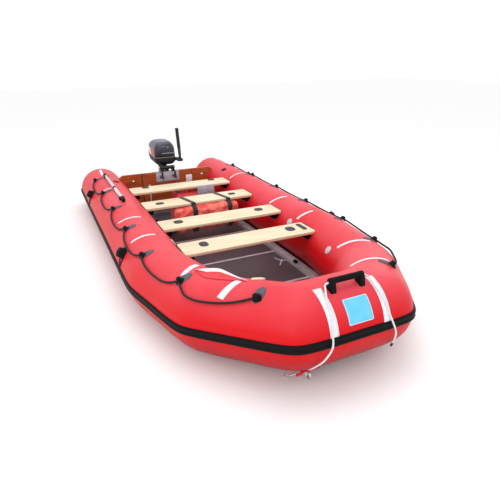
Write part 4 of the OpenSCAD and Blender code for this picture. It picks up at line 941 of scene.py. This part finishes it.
# Bellows rubber: black and matt; the outer folds are painted paler grey, a painted highlight, and the inner folds near
# black, a painted shade.
bellows, shader, place = finish_named("black_bellows_rubber", "#202024", 0.6)
rough_and_bump(shader, place, 85, 0.001, 0.3, 0.45, 0.75)
# Painted light by distance from the pump's axis: paler on the outer folds, near black in the inner ones.
from_axis = add(shader, "Mapping", {"Vector": place, "Location": (0.620, 0.310, 0), "Scale": (1, 1, 0)})
reach = add(shader, "VectorMath", {0: from_axis}, operation="LENGTH")
painted_fold_highlight = add(shader, "MapRange", {"Value": reach, "From Min": 0.105, "From Max": 0.124})
wire(shader, {"Base Color": add(shader, "Mix", {0: painted_fold_highlight, 6: "#0A0A0C", 7: "#4A4951"}, data_type="RGBA")})
hand_over(piece("bellows_foot_pump", pump, bellows), "boat", "pump_plastic", "foot_pump")

# ---- Motor bracket
# Die-cast aluminium, epoxy-painted black: two clamps hooked over the transom with a tilt tube
# between them, and the swivel bracket that hangs on that tube. The frame's own shapes.
# Painted casting: semi-gloss black over a slightly pebbled skin, rubbed grey in patches.
casting, shader, place = finish_named("black_epoxy_painted_casting", "#17181B", 0.42, Coat_Weight=0.15)
rough_and_bump(shader, place, 170, 0.0008, 0.4, 0.32, 0.58)
rubbed = add(shader, "TexNoise", {"Vector": place, "Scale": 22, "Detail": 6})
amount = add(shader, "MapRange", {"Value": rubbed, "From Min": 0.55, "From Max": 0.8})
wire(shader, {"Base Color": add(shader, "Mix", {0: amount, 6: "#141518", 7: "#3B3C42"}, data_type="RGBA")})
surface(casting, "clamp_bracket", "swivel_bracket", "midsection", "gearcase", "tiller_bracket")
surface(steel, "steering_shaft")

# Two clamp screws: a swivelling steel pad, a threaded stem and a steel handle each.
screws = bmesh.new()
screw_y, screw_z, pad_x = 0.077, 0.383, -1.485
for y in (-screw_y, screw_y):
    turned(screws, [(0.0004, 0), (0.0004, 0.020), (0.0015, 0.022), (0.006, 0.022), (0.007, 0.018), (0.007, 0.0105),
                    (0.012, 0.008), (0.012, 0)], (pad_x, y, screw_z), (1, 0, 0), 32)
    thread = [(0.008, 0), (0.008, 0.0065)]
    for k in range(17):
        x = 0.012 + 0.0034 * k
        thread += [(x, 0.0066), (x + 0.0011, 0.0079), (x + 0.0022, 0.0066)]
    turned(screws, thread + [(0.072, 0.0078), (0.088, 0.0078), (0.090, 0.006), (0.090, 0)], (pad_x, y, screw_z),
           (1, 0, 0), 24)
    turned(screws, [(-0.069, 0), (-0.068, 0.006), (-0.062, 0.0085), (-0.052, 0.0082), (-0.044, 0.0052),
                    (-0.010, 0.0050), (0.002, 0.0054), (0.0065, 0.0052), (0.008, 0.003), (0.008, 0)],
           (pad_x + 0.082, y, screw_z), (0, 0, 1), 20)
zinc, shader, place = finish_named("zinc_plated_steel", "#6F7076", 0.38, Metallic=0.9)
rough_and_bump(shader, place, 120, 0.0006, 0.3, 0.28, 0.55)
clouded(shader, place, 30, 5, "#3D3E43", "#9A9BA2")
hand_over(piece("clamp_screw_set", screws, zinc), "boat", "steel", "clamp_screws")
tilt_ends = bmesh.new()
for y in (-0.0845, 0.0845):
    turned(tilt_ends, [(0, 0), (0, 0.016), (0.002, 0.0175), (0.009, 0.0175), (0.011, 0.015), (0.011, 0.009),
                       (0.018, 0.0085), (0.019, 0)], (-1.500, y, 0.482), (0, math.copysign(1, y), 0), 6)
hand_over(piece("tilt_tube_nuts", tilt_ends, steel), "boat", "steel")

# ---- Head of the motor
# A moulded lower pan, black and matt, closed by a glossy dark grey cowl. The cowl has a flat
# front with a recess, a slanted blank flash on each side and a pale seam round its foot.
def lofted(mesh, levels, bevel):
    """Raises a head-shaped outline through levels of (height, front, back, half width, corner)."""
    made = []
    for z, front, behind, half, corner in levels:
        plan = [(front, -half + corner), (front - corner, -half), (behind + 1.6 * corner, -half),
                (behind, -half + 1.6 * corner), (behind, half - 1.6 * corner), (behind + 1.6 * corner, half),
                (front - corner, half), (front, half - corner)]
        ring = [mesh.verts.new((x, y, z)) for x, y in plan]
        made.append([mesh.edges.new((ring[k], ring[(k + 1) % 8])) for k in range(8)])
    for lower, upper in zip(made, made[1:]):
        bmesh.ops.bridge_loops(mesh, edges=lower + upper)
    for ends in (made[0], made[-1]):
        bmesh.ops.contextual_create(mesh, geom=ends)
    bmesh.ops.recalc_face_normals(mesh, faces=mesh.faces)
    bevelled(mesh, [e for e in mesh.edges if e.calc_face_angle(0) > 0.12], bevel, 3, True)


pan = bmesh.new()
lofted(pan, [(0.5125, -1.520, -1.726, 0.096, 0.030), (0.546, -1.496, -1.860, 0.1215, 0.034),
             (0.572, -1.4955, -1.895, 0.1225, 0.034), (0.599, -1.4955, -1.912, 0.1225, 0.034)], 0.004)
block(pan, (-1.560, -0.1245, 0.560), (-1.520, -0.119, 0.585), 0.002)
block(pan, (-1.560, 0.1185, 0.578), (-1.520, 0.1245, 0.590), 0.002)
# The rewind starter's handle, the choke knob and a fuel connector stand on the pan's front.
turned(pan, [(-0.004, 0.013), (0.004, 0.013), (0.006, 0.009), (0.012, 0.009), (0.014, 0.016), (0.020, 0.018),
             (0.022, 0)], (-1.4975, -0.062, 0.572), (1, 0, 0), 24)
turned(pan, [(-0.004, 0.010), (0.006, 0.010), (0.007, 0.005), (0.012, 0.005), (0.013, 0.011), (0.017, 0.011),
             (0.019, 0)], (-1.4975, 0.046, 0.574), (1, 0, 0), 20)
turned(pan, [(-0.004, 0.012), (0.003, 0.012), (0.004, 0.0065), (0.020, 0.0065), (0.021, 0)], (-1.4975, -0.008, 0.556),
       (1, 0, 0), 16)
matt_nylon, shader, place = finish_named("black_moulded_nylon", "#141416", 0.6)
rough_and_bump(shader, place, 190, 0.0007, 0.4, 0.5, 0.72)
hand_over(piece("motor_lower_pan", pan, matt_nylon), "motor", "motor_casting", "lower_pan")

cowl = bmesh.new()
lofted(cowl, [(0.6015, -1.4955, -1.9125, 0.1245, 0.038), (0.640, -1.4965, -1.908, 0.1230, 0.038),
              (0.690, -1.4985, -1.898, 0.1195, 0.036), (0.718, -1.506, -1.892, 0.1150, 0.034),
              (0.742, -1.513, -1.880, 0.1030, 0.032), (0.763, -1.525, -1.845, 0.0890, 0.030),
              (0.7755, -1.556, -1.806, 0.0800, 0.030)], 0.009)
# A wide shallow recess in the front face, between two raised cheeks.
bmesh.ops.subdivide_edges(cowl, edges=[e for e in cowl.edges if e.calc_length() > 0.06], cuts=5, use_grid_fill=True)
for v in cowl.verts:
    if v.co.x > -1.56 and v.normal.x > 0.6:
        inside = max(0, 1 - max(abs(v.co.y - 0.018) / 0.062, abs(v.co.z - 0.690) / 0.058))
        v.co.x -= 0.010 * min(1, inside * 5)
cowl_paint, shader, place = finish_named("dark_grey_gloss_paint", "#22242B", 0.3, Specular_IOR_Level=0.25,
                                         Coat_Weight=0.12, Coat_Roughness=0.12)
rough_and_bump(shader, place, 320, 0.0002, 0.15, 0.2, 0.36)
# Painted light: the paint is darker low down and paler grey towards the top in noisy patches, a painted shade below and
# a painted highlight above.
facing = add(shader, "SeparateXYZ", {0: place})
painted_top_light = add(shader, "MapRange", {"Value": facing.outputs["Z"], "From Min": 0.60, "From Max": 0.77})
dust_and_sheen_noise = add(shader, "TexNoise", {"Vector": place, "Scale": 9, "Detail": 5})
painted_light_patches = add(shader, "Math", {0: painted_top_light, 1: dust_and_sheen_noise}, operation="MULTIPLY")
wire(shader, {"Base Color": add(shader, "Mix", {0: painted_light_patches, 6: "#0D0E12", 7: "#6A6E7C"}, data_type="RGBA")})
hand_over(piece("motor_cowl", cowl, cowl_paint), "motor", "cowl_paint", "cowl_cover")

seam = bmesh.new()
lofted(seam, [(0.5985, -1.4945, -1.9135, 0.1255, 0.037), (0.6045, -1.4945, -1.9135, 0.1255, 0.037)], 0.0015)
block(seam, (-1.499, -0.046, 0.645), (-1.4935, 0.094, 0.655), 0.002)
block(seam, (-1.5085, -0.034, 0.724), (-1.5025, 0.006, 0.730), 0.0015)
turned(seam, [(-0.002, 0.009), (0.0065, 0.009), (0.008, 0.006), (0.008, 0)], (-1.5125, 0.034, 0.712), (1, 0, 0), 20)
seam_grey, shader, place = finish_named("pale_grey_moulded_trim", "#8E8F9A", 0.4)
rough_and_bump(shader, place, 150, 0.0005, 0.3, 0.3, 0.5)
hand_over(piece("cowl_seam_and_trim", seam, seam_grey), "motor", "cowl_paint")

# The flashes are vinyl film: a red slanted band with a white one behind it on each side, and
# they carry no words.
red_flash, white_flash = bmesh.new(), bmesh.new()
for mesh, start, long in ((red_flash, -1.555, 0.150), (white_flash, -1.715, 0.070)):
    for side in (-1, 1):
        made = bmesh.ops.create_grid(mesh, x_segments=12, y_segments=10, size=1)["verts"]
        for v in made:
            u, w = (v.co.x + 1) / 2, (v.co.y + 1) / 2
            z = 0.616 + 0.074 * w
            x = start - long * u - 0.050 * w
            half = 0.1242 - (z - 0.6015) / 0.0885 * 0.0047
            v.co = (x, side * (half + 0.0009), z)
for shade, mesh, code in (("red", red_flash, "#C8101F"), ("white", white_flash, "#F0F0F4")):
    bmesh.ops.recalc_face_normals(mesh, faces=mesh.faces)
    bmesh.ops.solidify(mesh, geom=list(mesh.faces), thickness=0.0008)
    vinyl, shader, place = finish_named(shade + "_vinyl_film", code, 0.35, Specular_IOR_Level=0.25)
    rough_and_bump(shader, place, 200, 0.0002, 0.2, 0.24, 0.4)
    hand_over(piece(shade + "_cowl_flashes", mesh, vinyl), "motor", "cowl_paint")

# The engine under the cowl is a cast block that keeps the frame's own shape.
cast_metal, shader, place = finish_named("bare_cast_aluminium", "#8A8C90", 0.5, Metallic=0.8)
rough_and_bump(shader, place, 110, 0.0012, 0.5, 0.4, 0.65)
surface(cast_metal, "engine_block")

# Bolts of the leg, a zinc anode above the propeller and the water intake's grille.
leg_bits = bmesh.new()
for z in (0.470, 0.360, 0.060, -0.080):
    for side in (-1, 1):
        turned(leg_bits, [(-0.004, 0.008), (0.0035, 0.008), (0.0045, 0.0065), (0.0045, 0.004), (0.003, 0.004),
                          (0.003, 0)], (-1.735, side * 0.039, z), (0, side, 0), 6)
for k in range(5):
    for side in (-1, 1):
        block(leg_bits, (-1.756 + 0.008 * k, side * 0.020 - 0.0012, -0.178),
              (-1.752 + 0.008 * k, side * 0.020 + 0.0012, -0.150), 0.0005, 1)
block(leg_bits, (-1.885, -0.011, -0.150), (-1.845, 0.011, -0.1252), 0.004)
hand_over(piece("leg_bolts_and_anode", leg_bits, zinc), "motor", "engine_metal")

# ---- Tiller
# A cast arm on a pivot beside the pan and a ribbed rubber grip. It is folded up for towing.
pivot, lean = Vector((-1.472, 0.165, 0.562)), math.radians(-10)
arm, grip = bmesh.new(), bmesh.new()
turned(arm, [(-0.011, 0.0071), (-0.011, 0.017), (-0.009, 0.019), (0.009, 0.019), (0.011, 0.017), (0.011, 0.0071),
             (-0.011, 0.0071)], (0, 0, 0), (0, 1, 0), 36)
for v in block(arm, (-0.016, -0.0105, 0.014), (0.016, 0.0105, 0.062), 0.003):
    v.co.x *= 1 - 0.1 * math.sin(math.pi * (v.co.z - 0.014) / 0.048)
for v in block(arm, (-0.016, -0.017, 0.048), (0.016, 0.017, 0.1395), 0.006):
    v.co.y *= 1 - 0.25 * max(0, (0.080 - v.co.z) / 0.032)
for z in (0.075, 0.110):
    turned(arm, [(0.0155, 0.005), (0.018, 0.0045), (0.0185, 0)], (0, 0, z), (0, 1, 0), 6)
profile = [(0.1402, 0), (0.1402, 0.020), (0.143, 0.021), (0.160, 0.021), (0.163, 0.0185)]
for k in range(15):
    z = 0.168 + 0.0115 * k
    profile += [(z, 0.0182), (z + 0.0025, 0.0203), (z + 0.0065, 0.0203), (z + 0.009, 0.0182)]
turned(grip, profile + [(0.345, 0.0185), (0.350, 0.0205), (0.364, 0.0205), (0.3695, 0.016), (0.370, 0)], (0, 0, 0),
       (0, 0, 1), 36)
for mesh in (arm, grip):
    bmesh.ops.rotate(mesh, verts=mesh.verts, cent=(0, 0, 0), matrix=Matrix.Rotation(lean, 3, "Y"))
    bmesh.ops.translate(mesh, verts=mesh.verts, vec=pivot)
hand_over(piece("tiller_arm_casting", arm, casting), "tiller", "motor_casting", "tiller_arm")
grip_rubber, shader, place = finish_named("black_ribbed_grip_rubber", "#131315", 0.7)
rough_and_bump(shader, place, 140, 0.0006, 0.35, 0.6, 0.8)
hand_over(piece("tiller_twist_grip", grip, grip_rubber), "tiller", "grip_rubber", "tiller_grip")

# ---- Propeller
# Three-bladed, die-cast aluminium painted dark grey: a tapered hub on its shaft, and blades
# that twist and cup towards their tips.
prop, prop_x, prop_z = bmesh.new(), -1.839, -0.246
turned(prop, [(0.0003, 0.0082), (0.0003, 0.032), (0.003, 0.033), (0.040, 0.031), (0.086, 0.028), (0.0915, 0.0265),
              (0.0915, 0.0082), (0.0003, 0.0082)], (prop_x, 0, prop_z), (-1, 0, 0), 48)
mid = prop_x - 0.046
for k in range(3):
    blade = bmesh.ops.create_grid(prop, x_segments=14, y_segments=12, size=1)["verts"]
    for v in blade:
        u, w = v.co.x, (v.co.y + 1) / 2
        reach = 0.024 + 0.0860 * w
        wide = 0.030 + 0.024 * math.sin(math.pi * min(1, w * 0.62 + 0.18)) - 0.045 * max(0, w - 0.72) ** 1.3
        sweep = 0.018 * w * w
        a = math.radians(52 - 26 * w)
        chord = u * wide - sweep
        cup = 0.005 * u * u * w
        v.co = (mid - chord * math.sin(a) * 0.72 + cup, chord * math.cos(a),
                math.sqrt(max(reach ** 2 - (chord * math.cos(a)) ** 2, 0.02 ** 2)))
    faces = list({f for v in blade for f in v.link_faces})
    before = set(prop.verts) - set(blade)
    bmesh.ops.recalc_face_normals(prop, faces=faces)
    bmesh.ops.solidify(prop, geom=faces, thickness=0.004)
    new = [v for v in prop.verts if v not in before]
    bmesh.ops.rotate(prop, verts=new, cent=(0, 0, 0), matrix=Matrix.Rotation(math.radians(120 * k), 3, "X"))
    bmesh.ops.translate(prop, verts=new, vec=(0, 0, prop_z))
prop_paint, shader, place = finish_named("grey_painted_die_casting", "#2B2C31", 0.35, Coat_Weight=0.2)
rough_and_bump(shader, place, 110, 0.0006, 0.3, 0.28, 0.5)
clouded(shader, place, 16, 6, "#1E1F23", "#4A4B52")
hand_over(piece("propeller_casting", prop, prop_paint), "screw", "propeller_metal", "propeller")
